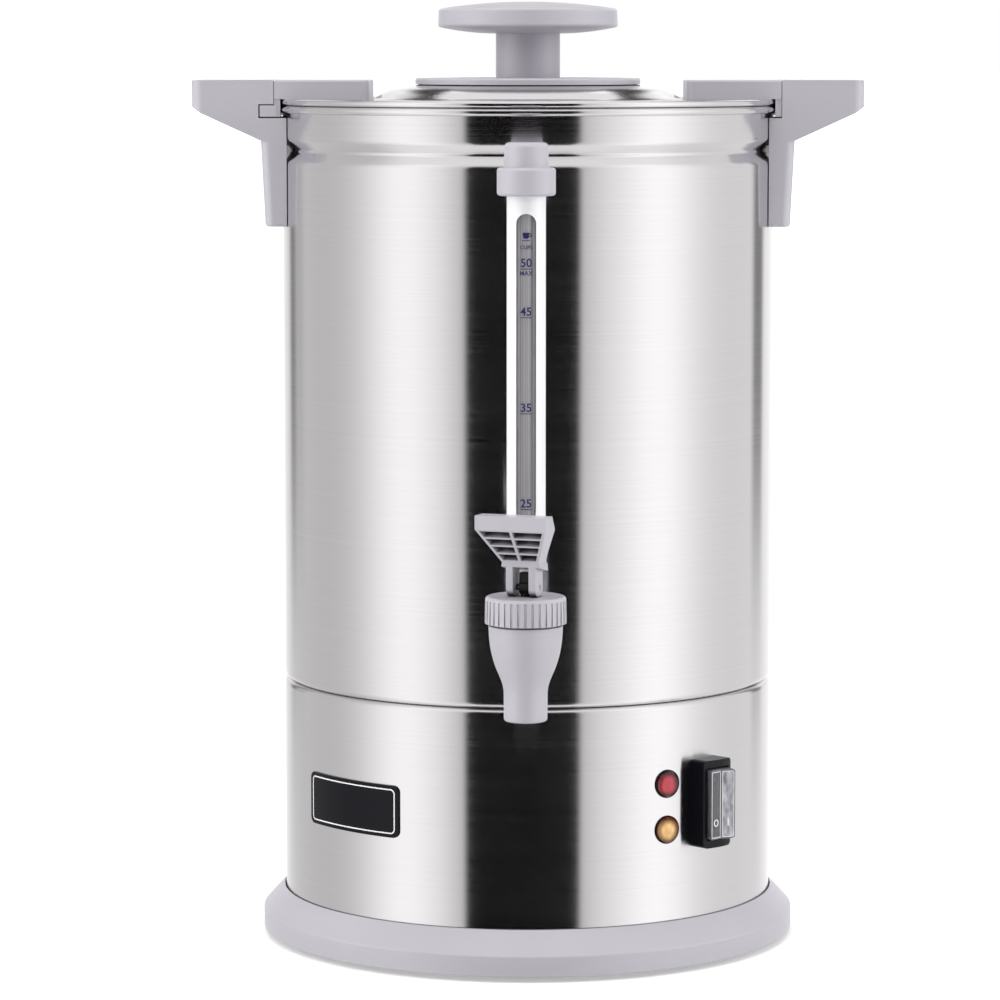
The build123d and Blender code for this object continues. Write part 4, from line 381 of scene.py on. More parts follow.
@dataclass(frozen=True)
class Lens:
    """A lamp's tinted lens, moulded in facets, its colour painted bright in the middle and painted
    with shade at the rim and at the facets' edges.
    """

    name: str
    colour: Colour
    # colour of the painted shade at the rim
    rim: Colour
    centre: Triple
    azimuth: float
    radius: float
    # where the painted rim shade starts and where the painted bright middle is full, as shares of
    # the radius
    rim_shade_from: float = 0.92
    painted_bright_to: float = 0.40
    facets: float = 420.0
    facet_stretch: Triple = (1.0, 1.0, 0.6)
    facet_reach: float = 0.8
    facet_shade: float = 0.62
    facet_depth: float = 0.15
    facet_strength: float = 0.35
    clearness: float = 0.25
    ior: float = 1.49
    glow: float = 0.3
    ripples: float = 300.0
    gloss: Point = (0.08, 0.16)

    def material(self) -> bpy.types.Material:
        """Build the lens's material.

        Returns:
            The material.
        """
        graph = Graph(self.name)
        turn = math.radians(self.azimuth)
        axis = (math.sin(turn), -math.cos(turn), 0.0)
        away = graph.combine("VectorMath", "SUBTRACT", graph.place(1.0), shaded(self.centre, MM))
        across = graph.combine("VectorMath", "CROSS_PRODUCT", away, axis)
        reach = graph.combine("VectorMath", "LENGTH", across)
        # painted light: the colour brightens towards the middle and darkens towards the rim, and
        # each facet darkens towards its edge; the lamp's glow follows the same pattern
        ends = (self.rim_shade_from * self.radius * MM, self.painted_bright_to * self.radius * MM)
        painted_brightness = graph.ramp(reach, ends, (0.0, 1.0), smooth=True)
        cells = graph.add("ShaderNodeTexVoronoi", Scale=self.facets)
        graph.join(graph.place(self.facet_stretch), cells.inputs["Vector"])
        edge = cells.outputs["Distance"]
        spread = graph.ramp(edge, (0.0, self.facet_reach), (1.0, self.facet_shade))
        painted_light = graph.combine("Math", "MULTIPLY", painted_brightness, spread)
        graph.tint(painted_light, self.rim, self.colour)
        graph.set(Transmission_Weight=self.clearness, IOR=self.ior, Emission_Color=self.colour)
        graph.feed("Emission Strength", graph.combine("Math", "MULTIPLY", painted_light, self.glow))
        ripple = graph.noise(self.ripples, detail=1.0)
        graph.feed("Roughness", graph.span(ripple, *self.gloss))
        graph.relief(edge, self.facet_depth, self.facet_strength)
        return graph.material


@dataclass(frozen=True)
class Print:
    """Printed ink with fine specks."""

    name: str
    colour: Colour
    roughness: float = 0.45
    specks: float = 3200.0
    speck_gain: float = 1.12
    speck_lift: float = 0.01
    speck_depth: float = 0.003
    speck_strength: float = 0.4

    def material(self) -> bpy.types.Material:
        """Build the ink's material.

        Returns:
            The material.
        """
        graph = Graph(self.name)
        speck = graph.noise(self.specks)
        light = tuple(min(1.0, part * self.speck_gain + self.speck_lift) for part in self.colour)
        graph.tint(graph.span(speck, 0.0, 1.0), self.colour, light)
        graph.set(Roughness=self.roughness)
        graph.relief(speck, self.speck_depth, self.speck_strength)
        return graph.material


Finish = Steel | Moulding | Clear | Lens | Print

FINISHES: dict[str, Finish] = {
    "steel_brushed": Steel(
        "brushed_steel", (0.745, 0.725, 0.735), 0.17, Brush.ROUND_THE_AXIS, 0.95, 0.25
    ),
    "steel_polished": Steel("spun_steel", (0.755, 0.74, 0.75), 0.15, Brush.SPUN, 0.85, 0.25),
    "steel_plain": Steel("mill_steel", (0.52, 0.52, 0.52), 0.30, Brush.MILL),
    "steel_zinc": Steel("zinc_plate", (0.55, 0.56, 0.58), 0.36, Brush.MILL),
    "aluminium_cast": Steel("cast_aluminium", (0.62, 0.62, 0.63), 0.5, Brush.MILL, grain=0.05),
    "plastic_grey": Moulding("satin_grey_plastic", (0.52, 0.50, 0.55), 0.33),
    "guard_white": Moulding("gloss_white_plastic", (0.93, 0.93, 0.95), 0.24, coat=0.3),
    "gauge_clear": Clear(
        "gauge_glass", (0.86, 0.83, 0.87), 0.03, ior=1.47, milk=0.42, streaks=0.62
    ),
    "silicone": Moulding("milky_silicone", (0.62, 0.62, 0.60), 0.5),
    "rubber_dark": Moulding("matt_rubber", (0.035, 0.035, 0.037), 0.75, grain=0.02),
    "switch_black": Moulding("black_plastic", (0.006, 0.006, 0.009), 0.22, specular=0.2),
    "switch_clear": Clear("clear_cap", (0.80, 0.80, 0.86), 0.04, ior=1.5, milk=0.10),
    "stem_black": Moulding("black_acetal", (0.006, 0.006, 0.007), 0.3, specular=0.25),
    # lens colours: first the painted bright middle, then the painted shade at the rim
    "lens_red": Lens(
        "red_lens", (0.68, 0.065, 0.09), (0.04, 0.004, 0.007), (61.4, -94.1, 82.1), 33.75, 5.6
    ),
    "lens_amber": Lens(
        "amber_lens", (0.98, 0.64, 0.26), (0.17, 0.038, 0.006), (61.4, -94.1, 61.9), 33.75, 5.6
    ),
    "plate_black": Moulding("gloss_black_plate", (0.004, 0.004, 0.007), 0.16, specular=0.15),
    "phenolic": Moulding("brown_phenolic", (0.045, 0.026, 0.016), 0.5),
    "ceramic_white": Moulding("white_steatite", (0.75, 0.73, 0.68), 0.55, grain=0.03),
}
# grey plastic with painted shade that darkens the crevices of the tap's ribs and pockets
CREVICE_SHADED_PLASTIC = Moulding("crevice_shaded_grey_plastic", (0.52, 0.50, 0.55), 0.33, painted_crevice_shade=0.9)
# painted highlight: a milky bright sheet on the switch cap's right half, the side that catches the
# light
PAINTED_BRIGHT_FACE = Clear(
    "bright_face_paint", (0.68, 0.67, 0.73), 0.10, milk=0.95, streaks=0.70, drawing=(420.0, 420.0, 150.0)
)
BLUE_INK = Print("blue_ink", (0.006, 0.009, 0.09))
# white print for the plate's border and the switch's marks, also used for the painted highlights
# round the switch cap
WHITE_INK_AND_HIGHLIGHT = Print("white_ink_and_highlight", (0.85, 0.85, 0.86))


class Paintbox:
    """Keeps one material for each finish."""

    def __init__(self) -> None:
        """Start with no materials."""
        self.made: dict[str, bpy.types.Material] = {}

    def coat(self, piece: bpy.types.Object, finish: Finish) -> None:
        """Put a finish on a piece. Its material is built at its first use.

        Args:
            piece: the piece.
            finish: the finish.
        """
        if finish.name not in self.made:
            self.made[finish.name] = finish.material()
        material = self.made[finish.name]
        if not piece.material_slots:
            piece.data.materials.append(material)
        for slot in piece.material_slots:
            slot.material = material


# ---------------------------------------------------------------- mesh tools


def mesh_of(name: str, shape: bmesh.types.BMesh) -> bpy.types.Mesh:
    """Turn a shape into a mesh.

    Args:
        name: the mesh's name.
        shape: the shape. It is freed.

    Returns:
        The mesh.
    """
    mesh = bpy.data.meshes.new(name)
    shape.to_mesh(mesh)
    shape.free()
    return mesh


def stand(name: str, data: bpy.types.ID) -> bpy.types.Object:
    """Put an object into the scene.

    Args:
        name: the object's name.
        data: its mesh, lamp or camera.

    Returns:
        The object.
    """
    thing = bpy.data.objects.new(name, data)
    bpy.context.scene.collection.objects.link(thing)
    return thing


def smooth_shading() -> bpy.types.GeometryNodeTree:
    """A geometry tree that marks every face as smooth.

    Returns:
        The node tree.
    """
    tree = bpy.data.node_groups.new("smooth_shading", "GeometryNodeTree")
    for way in ("INPUT", "OUTPUT"):
        tree.interface.new_socket("Geometry", in_out=way, socket_type="NodeSocketGeometry")
    entry = tree.nodes.new("NodeGroupInput")
    smooth = tree.nodes.new("GeometryNodeSetShadeSmooth")
    leave = tree.nodes.new("NodeGroupOutput")
    tree.links.new(entry.outputs[0], smooth.inputs[0])
    tree.links.new(smooth.outputs[0], leave.inputs[0])
    return tree


@dataclass
class Softener:
    """Rounds the sharp edges of moulded and pressed pieces, as a mould or press leaves them."""

    angle: float = 32.0
    steps: int = 2
    merge: float = 0.002
    tree: bpy.types.GeometryNodeTree = field(default_factory=smooth_shading)

    def soften(self, piece: bpy.types.Object, width: float) -> None:
        """Round a piece's edges.

        Args:
            piece: the piece.
            width: width of the rounding in millimetres.
        """
        weld = piece.modifiers.new("weld", "WELD")
        weld.merge_threshold = self.merge * MM
        bevel = piece.modifiers.new("soft_edges", "BEVEL")
        bevel.width = width * MM
        bevel.segments = self.steps
        bevel.limit_method = "ANGLE"
        bevel.angle_limit = math.radians(self.angle)
        smooth = piece.modifiers.new("smooth", "NODES")
        smooth.node_group = self.tree
        piece.modifiers.new("even_shading", "WEIGHTED_NORMAL")


def rounded(corners: Sequence[Triple], steps: int = 6) -> list[Point]:
    """Round the corners of an open line.

    Args:
        corners: each corner's two coordinates and its radius.
        steps: points on each rounded corner.

    Returns:
        The points of the rounded line.
    """
    line: list[Point] = []
    last = len(corners) - 1
    for index, (u, v, radius) in enumerate(corners):
        if radius <= 0 or index in (0, last):
            line.append((u, v))
            continue
        here = Vector((u, v))
        back = Vector(corners[index - 1][:2]) - here
        ahead = Vector(corners[index + 1][:2]) - here
        half = back.angle(ahead) / 2
        shorter = min(back.length, ahead.length)
        reach = min(radius / math.tan(half), shorter * CORNER_SHARE)
        start = here + back.normalized() * reach
        end = here + ahead.normalized() * reach
        for step in range(steps + 1):
            part = step / steps
            curve = start * (1 - part) ** 2 + here * 2 * part * (1 - part) + end * part**2
            line.append((curve.x, curve.y))
    return line


def oval(middle: Point, half_width: float, half_height: float, steps: int) -> list[Point]:
    """The outline of an oval.

    Args:
        middle: its middle.
        half_width: half its width.
        half_height: half its height.
        steps: points on it.

    Returns:
        The closed line's points.
    """
    turns = [math.tau * step / steps for step in range(steps)]
    x, y = middle
    return [(x + half_width * math.cos(t), y + half_height * math.sin(t)) for t in turns]


def rounded_box(width: float, height: float, corner: float, steps: int = 6) -> list[Point]:
    """The outline of a rounded rectangle about the origin.

    Args:
        width: its width.
        height: its height.
        corner: its corner radius.
        steps: steps round each corner.

    Returns:
        The closed line's points.
    """
    line: list[Point] = []
    for quarter, (i, j) in enumerate(((1, 1), (-1, 1), (-1, -1), (1, -1))):
        x = i * (width / 2 - corner)
        y = j * (height / 2 - corner)
        for step in range(steps + 1):
            angle = math.radians(90 * (quarter + step / steps))
            line.append((x + corner * math.cos(angle), y + corner * math.sin(angle)))
    return line


def shade_turned(mesh: bpy.types.Mesh) -> None:
    """Shade a turned wall smooth between its sharp edges."""
    mesh.shade_smooth()
    mesh.set_sharp_from_angle(angle=SHARP_ANGLE)


def lathe(name: str, line: Sequence[Point], steps: int = 288) -> bpy.types.Mesh:
    """Turn a closed line of radius and height round the urn's axis.

    Args:
        name: the mesh's name.
        line: points of radius and height in millimetres, closed by the last to the first.
        steps: faces round the axis.

    Returns:
        The mesh.
    """
    shape = bmesh.new()
    rings: list[list[bmesh.types.BMVert]] = []
    for radius, height in line:
        ring = []
        for step in range(steps if radius > 0 else 1):
            angle = math.tau * step / steps
            place = (radius * MM * math.cos(angle), radius * MM * math.sin(angle), height * MM)
            ring.append(shape.verts.new(place))
        rings.append(ring)
    for low, high in zip(rings, rings[1:] + rings[:1]):
        if len(low) == 1 and len(high) == 1:
            continue
        for step in range(steps):
            after = (step + 1) % steps
            corners = [
                low[step % len(low)],
                low[after % len(low)],
                high[after % len(high)],
                high[step % len(high)],
            ]
            shape.faces.new(list(dict.fromkeys(corners)))
    bmesh.ops.recalc_face_normals(shape, faces=shape.faces)
    mesh = mesh_of(name, shape)
    shade_turned(mesh)
    return mesh


@dataclass(frozen=True)
class Sheet:
    """A sheet-metal wall turned round the urn's axis, with a rolled bead at its end."""

    line: tuple[Triple, ...]
    thickness: float
    bead_centre: Point = (0.0, 0.0)
    bead_radius: float = 0.0
    bead_start: float = 0.0
    bead_sweep: float = 0.0
    bead_steps: int = 28

    def outline(self) -> list[Point]:
        """Thicken the middle line and roll its end.

        Returns:
            The closed outline's points.
        """
        line = rounded(self.line)
        right: list[Point] = []
        left: list[Point] = []
        for index, (radius, height) in enumerate(line):
            back = Vector(line[max(index - 1, 0)])
            ahead = Vector(line[min(index + 1, len(line) - 1)])
            way = (ahead - back).normalized() * self.thickness / 2
            right.append((radius + way.y, height - way.x))
            left.append((radius - way.y, height + way.x))
        if self.bead_radius:
            middle, centre_height = self.bead_centre
            for step in range(self.bead_steps + 1):
                angle = math.radians(self.bead_start + self.bead_sweep * step / self.bead_steps)
                across = self.bead_radius * math.cos(angle)
                up = self.bead_radius * math.sin(angle)
                right.append((middle + across, centre_height + up))
        return right + left[::-1]


@dataclass(frozen=True)
class Hole:
    """A hole through a round wall: round, or oblong where it has a height."""

    azimuth: float
    height: float
    width: float
    tall: float = 0.0
    depth: float = 24.0
    steps: int = 64

    def cutter(self, reach: float) -> bpy.types.Mesh:
        """Build the shape that cuts the hole.

        Args:
            reach: radius of the wall in millimetres.

        Returns:
            The cutter's mesh.
        """
        shape = bmesh.new()
        if self.tall:
            bmesh.ops.create_cube(shape, size=1.0)
            bmesh.ops.scale(shape, verts=shape.verts, vec=(self.width, self.tall, self.depth))
        else:
            bmesh.ops.create_cone(
                shape,
                cap_ends=True,
                segments=self.steps,
                radius1=self.width / 2,
                radius2=self.width / 2,
                depth=self.depth,
            )
        place = Matrix.Rotation(math.radians(self.azimuth), 4, "Z")
        place = place @ Matrix.Translation((0.0, -reach, self.height))
        place = place @ Matrix.Rotation(math.radians(90.0), 4, "X")
        bmesh.ops.transform(shape, verts=shape.verts, matrix=Matrix.Scale(MM, 4) @ place)
        return mesh_of("cutter", shape)


def bored(mesh: bpy.types.Mesh, holes: Sequence[Hole], reach: float) -> bpy.types.Mesh:
    """Cut holes in a wall.

    Args:
        mesh: the wall.
        holes: the holes.
        reach: radius of the wall in millimetres.

    Returns:
        The wall with its holes.
    """
    wall = stand("wall", mesh)
    cutters = [stand("cutter", hole.cutter(reach)) for hole in holes]
    for cutter in cutters:
        cut = wall.modifiers.new("cut", "BOOLEAN")
        cut.operation = "DIFFERENCE"
        cut.solver = "MANIFOLD"
        cut.object = cutter
    bpy.context.view_layer.update()
    made = bpy.data.meshes.new_from_object(
        wall.evaluated_get(bpy.context.evaluated_depsgraph_get())
    )
    for spare in (wall, *cutters):
        bpy.data.objects.remove(spare)
    shade_turned(made)
    return made


@dataclass(frozen=True)
class Wall:
    """A round wall that prints and labels lie on, given by its axis and radius."""

    x: float
    y: float
    radius: float
    angle: float = 0.0

    def point(self, right: float, up: float, out: float) -> Vector:
        """A point on the wall.

        Args:
            right: arc length to the right of the middle line, in millimetres.
            up: height in millimetres.
            out: distance outside the wall.

        Returns:
            The point in metres.
        """
        turn = math.radians(self.angle) + right / self.radius
        reach = self.radius + out
        return Vector((self.x + reach * math.sin(turn), self.y - reach * math.cos(turn), up)) * MM


@dataclass(frozen=True)
class Facet:
    """A flat upright face that prints lie on, given by a point and the way it faces."""

    x: float
    y: float
    azimuth: float

    def point(self, right: float, up: float, out: float) -> Vector:
        """A point on the face.

        Args:
            right: distance to the right of the given point, in millimetres.
            up: height in millimetres.
            out: distance in front of the face.

        Returns:
            The point in metres.
        """
        turn = math.radians(self.azimuth)
        x = self.x + right * math.cos(turn) + out * math.sin(turn)
        y = self.y + right * math.sin(turn) - out * math.cos(turn)
        return Vector((x, y, up)) * MM


def wrapped(
    name: str,
    outline: bmesh.types.BMesh,
    where: Callable[[float, float, float], Vector],
    thickness: float,
) -> bpy.types.Mesh:
    """Lay a flat shape on a surface and give it a little thickness.

    Args:
        name: the mesh's name.
        outline: the flat shape in millimetres, x to the right and y up. It is freed.
        where: gives the place of a flat point at a distance outside the surface.
        thickness: thickness in millimetres.

    Returns:
        The mesh.
    """
    for _ in range(MOST_SPLITS):
        long_edges = [edge for edge in outline.edges if edge.calc_length() > LONGEST_EDGE]
        if not long_edges:
            break
        bmesh.ops.subdivide_edges(outline, edges=long_edges, cuts=1)
        bmesh.ops.triangulate(outline, faces=outline.faces)
    outline.verts.index_update()
    flat = [(vert.co.x, vert.co.y) for vert in outline.verts]
    count = len(flat)
    faces = [[vert.index for vert in face.verts] for face in outline.faces]
    rim = [[vert.index for vert in edge.verts] for edge in outline.edges if edge.is_boundary]
    outline.free()
    sides = [[one, two, two + count, one + count] for one, two in rim]
    under = [[index + count for index in reversed(face)] for face in faces]
    solid = bmesh.new()
    verts = [solid.verts.new(where(*point, out)) for out in (thickness, 0.0) for point in flat]
    single = {frozenset(face): face for face in faces + under + sides if len(set(face)) > 2}
    for face in single.values():
        solid.faces.new([verts[index] for index in face])
    bmesh.ops.recalc_face_normals(solid, faces=solid.faces)
    return mesh_of(name, solid)


def move_up(shape: bmesh.types.BMesh, height: float) -> None:
    """Move a flat shape up by a height in millimetres."""
    bmesh.ops.translate(shape, verts=shape.verts, vec=(0.0, height, 0.0))


def lettering(text: str, height: float, foot: float) -> bmesh.types.BMesh:
    """Flat characters about a middle line.

    Args:
        text: the characters.
        height: height of a capital in millimetres.
        foot: height of their foot.

    Returns:
        Their flat shape in millimetres.
    """
    curve = bpy.data.curves.new("glyphs", "FONT")
    curve.body = text
    curve.align_x = "CENTER"
    curve.size = height * CAPITAL_TO_SIZE
    curve.offset = LETTER_WEIGHT * curve.size
    curve.resolution_u = LETTER_STEPS
    holder = bpy.data.objects.new("glyphs", curve)
    mesh = bpy.data.meshes.new_from_object(holder)
    bpy.data.objects.remove(holder)
    bpy.data.curves.remove(curve)
    shape = bmesh.new()
    shape.from_mesh(mesh)
    bpy.data.meshes.remove(mesh)
    bmesh.ops.remove_doubles(shape, verts=shape.verts, dist=SAME_PLACE)
    move_up(shape, foot)
    return shape


def bar(shape: bmesh.types.BMesh, x: float, y: float, width: float, height: float) -> None:
    """Add a flat bar to a shape.

    Args:
        shape: the flat shape.
        x: the bar's middle.
        y: the bar's middle.
        width: its width.
        height: its height.
    """
    corners = [(-1, -1), (1, -1), (1, 1), (-1, 1)]
    points = [(x + i * width / 2, y + j * height / 2, 0.0) for i, j in corners]
    shape.faces.new([shape.verts.new(point) for point in points])


def band(shape: bmesh.types.BMesh, inner: Sequence[Point], outer: Sequence[Point]) -> None:
    """Add the flat band between two closed lines of as many points.

    Args:
        shape: the flat shape.
        inner: the inner line.
        outer: the outer line.
    """
    inside = [shape.verts.new((*point, 0.0)) for point in inner]
    outside = [shape.verts.new((*point, 0.0)) for point in outer]
    for index in range(len(inside)):
        after = (index + 1) % len(inside)
        shape.faces.new((inside[index], inside[after], outside[after], outside[index]))


# ---------------------------------------------------------------- sub-assemblies


@dataclass
class Workshop:
    """What every sub-assembly needs to make and dress its pieces."""

    nodes: dict[str, bpy.types.Object]
    paints: Paintbox = field(default_factory=Paintbox)
    softener: Softener = field(default_factory=Softener)
    done: list[str] = field(default_factory=list)

    def dress(self, *names: str, edge: float = 0.0, finish: Finish | None = None) -> None:
        """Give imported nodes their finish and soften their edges.

        Args:
            names: the nodes.
            edge: width of the rounded edges in millimetres, 0 for none.
            finish: the finish, or none for the one of the node's material slot.
        """
        for name in names:
            node = self.nodes[name]
            own = FINISHES[node.material_slots[0].material.name.split(".")[0]]
            self.paints.coat(node, finish or own)
            if edge:
                self.softener.soften(node, edge)
            self.done.append(name)

    def add(
        self, name: str, mesh: bpy.types.Mesh, body: str, slot: str, finish: Finish | None = None
    ) -> bpy.types.Object:
        """Make a piece of a mesh and let it ride on a body.

        Args:
            name: the piece's name.
            mesh: its mesh, in metres in the urn's frame.
            body: the body that carries it.
            slot: the record's material slot.
            finish: the finish, or none for the one of the slot.

        Returns:
            The piece.
        """
        piece = stand(name, mesh)
        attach(piece, body)
        self.paints.coat(piece, finish or FINISHES[slot])
        self.done.append(name)
        return piece


@dataclass
class SubAssembly:
    """A part of the urn that is made and dressed in the workshop."""

    shop: Workshop


@dataclass
class Vessel(SubAssembly):
    """The tank, its skirt and what stands inside the tank."""

    wall_radius: float = 110.0
    tank: Sheet = Sheet(
        line=(
            (0.0, 111.9, 0.0),
            (26.0, 111.9, 1.3),
            (29.0, 117.9, 1.3),
            (109.6, 117.9, 2.6),
            (109.6, 349.5, 4.0),
            (106.2, 354.5, 2.2),
            (109.6, 359.5, 4.0),
            (109.6, 371.2, 0.0),
        ),
        thickness=0.8,
        bead_centre=(110.6, 372.8),
        bead_radius=1.7,
        bead_start=-110.7,
        bead_sweep=325.2,
    )
    tank_holes: tuple[Hole, ...] = (Hole(0.0, 151.5, 16.2),)
    skirt: Sheet = Sheet(
        line=((109.7, 7.5, 0.0), (109.7, 117.2, 2.6), (101.0, 117.2, 0.0)),
        thickness=0.6,
    )
    skirt_holes: tuple[Hole, ...] = (
        Hole(45.0, 72.2, 14.0, 32.6),
        Hole(33.75, 82.1, 11.4),
        Hole(33.75, 61.9, 11.4),
        Hole(180.0, 37.5, 13.2),
    )

    def turn(self, name: str, sheet: Sheet, holes: Sequence[Hole]) -> None:
        """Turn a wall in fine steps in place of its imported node.

        Args:
            name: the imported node's name.
            sheet: the wall.
            holes: the holes through it.
        """
        mesh = bored(lathe(f"{name}_turned", sheet.outline()), holes, self.wall_radius)
        piece = self.shop.add(f"{name}_turned", mesh, "root", "steel_brushed")
        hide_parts(name)

    def build(self) -> None:
        """Turn the tank and its skirt, and dress what stands inside."""
        self.turn("tank", self.tank, self.tank_holes)
        self.turn("base_skirt", self.skirt, self.skirt_holes)
        self.shop.dress("percolator_stem", "pump_washer", "basket", "basket_cover")


@dataclass
class Base(SubAssembly):
    """The moulded ring, the foot ring and the bottom plate."""

    ring_edge: float = 0.5

    def build(self) -> None:
        """Dress the base."""
        self.shop.dress("base_ring", edge=self.ring_edge)
        self.shop.dress("foot_ring", "bottom_cover", "tank_studs", "tie_nuts")


@dataclass
class Lid(SubAssembly):
    """The lid with its flange, knob and ears."""

    ear_edge: float = 0.35
    dome: Sheet = Sheet(
        line=(
            (0.0, 383.45, 0.0),
            (48.0, 383.45, 22.0),
            (63.0, 381.05, 18.0),
            (69.0, 377.05, 4.0),
            (109.5, 377.05, 0.0),
        ),
        thickness=0.7,
        bead_centre=(110.8, 376.0),
        bead_radius=1.4,
        bead_start=150.0,
        bead_sweep=300.0,
    )

    def build(self) -> None:
        """Turn the dome in fine steps and dress the rest of the lid."""
        mesh = lathe("lid_dome_turned", self.dome.outline())
        piece = self.shop.add("lid_dome_turned", mesh, "lid", "steel_polished")
        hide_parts("lid_dome")
        self.shop.dress("lid_lip", "knob_screw", "ear_rivets", "lid_flange", "lid_knob")
        self.shop.dress("lid_ear_left", "lid_ear_right", edge=self.ear_edge)


@dataclass
class Handles(SubAssembly):
    """The two side handles and their brackets."""

    handle_edge: float = 0.7

    def build(self) -> None:
        """Dress the handles."""
        self.shop.dress("handle_left", "handle_right", edge=self.handle_edge)
        self.shop.dress("handle_brackets", "handle_screws")


@dataclass(frozen=True)
class CupSign:
    """The small sign of a cup on its saucer, about the cup's middle."""

    bowl: tuple[Point, ...] = ((-1.6, 1.3), (-1.1, -1.2), (0.9, -1.2), (1.4, 1.3))
    ear_right: float = 1.5
    ear_up: float = 0.2
    ear_outside: Point = (0.95, 0.85)
    ear_inside: Point = (0.5, 0.42)
    ear_steps: int = 8
    saucer_left: float = -0.1
    saucer_drop: float = 2.0
    saucer_size: Point = (3.6, 0.32)

    def shape(self, height: float) -> bmesh.types.BMesh:
        """Draw the sign.

        Args:
            height: height of its middle.

        Returns:
            The flat shape in millimetres.
        """
        shape = bmesh.new()
        shape.faces.new([shape.verts.new((x, height + y, 0.0)) for x, y in self.bowl])
        middle = (self.ear_right, height + self.ear_up)
        inner = oval(middle, *self.ear_inside, self.ear_steps)
        band(shape, inner, oval(middle, *self.ear_outside, self.ear_steps))
        bar(shape, self.saucer_left, height - self.saucer_drop, *self.saucer_size)
        return shape


@dataclass
class Gauge(SubAssembly):
    """The gauge glass with its marks, guard and cap."""

    cap_edge: float = 0.25
    glass_radius: float = 6.0
    glass_gap: float = 0.01
    levels: tuple[tuple[str, float], ...] = (
        ("50", 310.6),
        ("45", 290.2),
        ("35", 249.8),
        ("25", 209.4),
    )
    numeral_height: float = 3.6
    line_drop: float = 0.9
    line_width: float = 4.8
    line_height: float = 0.34
    max_height: float = 1.9
    max_drop: float = 5.4
    cups_height: float = 1.615
    cups_rise: float = 5.6
    sign: CupSign = CupSign()
    sign_rise: float = 11.2
    print_thickness: float = 0.04

    def marks(self) -> None:
        """Print the level numbers, their lines and a cup sign on the glass."""
        low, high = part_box("gauge_glass")
        middle = (low + high) / (2 * MM)
        wall = Wall(middle.x, middle.y, self.glass_radius + self.glass_gap)
        for text, height in self.levels:
            foot = height - self.numeral_height / 2
            shape = lettering(text, self.numeral_height, foot)
            bar(shape, 0.0, foot - self.line_drop, self.line_width, self.line_height)
            self.lay(text, shape, wall)
        top = self.levels[0][1]
        self.lay("max", lettering("MAX", self.max_height, top - self.max_drop), wall)
        self.lay("cups", lettering("CUPS", self.cups_height, top + self.cups_rise), wall)
        self.lay("cup", self.sign.shape(top + self.sign_rise), wall)

    def lay(self, mark: str, shape: bmesh.types.BMesh, wall: Wall) -> None:
        """Lay one mark on the glass.

        Args:
            mark: what it shows.
            shape: its flat shape.
            wall: the glass's front.
        """
        name = f"gauge_mark_{mark}"
        mesh = wrapped(name, shape, wall.point, self.print_thickness)
        self.shop.add(name, mesh, "root", "gauge_clear", BLUE_INK)

    def build(self) -> None:
        """Dress the gauge and print its marks."""
        self.shop.dress("gauge_glass", "gauge_seals", "gauge_guard")
        self.shop.dress("gauge_cap", edge=self.cap_edge)
        self.marks()


@dataclass
class Tap(SubAssembly):
    """The tap with its lever, stem, spring and shank."""

    body_edge: float = 0.2
    bonnet_edge: float = 0.38
    lever_edge: float = 0.3
    stem_edge: float = 0.15
    stem_lift: float = 1.815

    def spring(self) -> None:
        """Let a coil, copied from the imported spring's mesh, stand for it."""
        mesh = self.shop.nodes["valve_spring"].data.copy()
        coil = self.shop.add("valve_spring_coil", mesh, "root", "steel_plain")
        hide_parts("valve_spring")
        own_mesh(coil)

    def build(self) -> None:
        """Dress the tap and make its spring."""
        self.shop.dress("tap_body", "tap_shank", "shank_nut", edge=self.body_edge)
        # the bonnet and lever get painted shade in their crevices
        self.shop.dress("tap_bonnet", edge=self.bonnet_edge, finish=CREVICE_SHADED_PLASTIC)
        self.shop.dress("tap_lever", edge=self.lever_edge, finish=CREVICE_SHADED_PLASTIC)
        self.shop.dress("valve_stem", edge=self.stem_edge)
        self.shop.dress("lever_pin", "seat_cup")
        self.spring()
        self.shop.dress("shank_washer_outer", "shank_washer_inner")


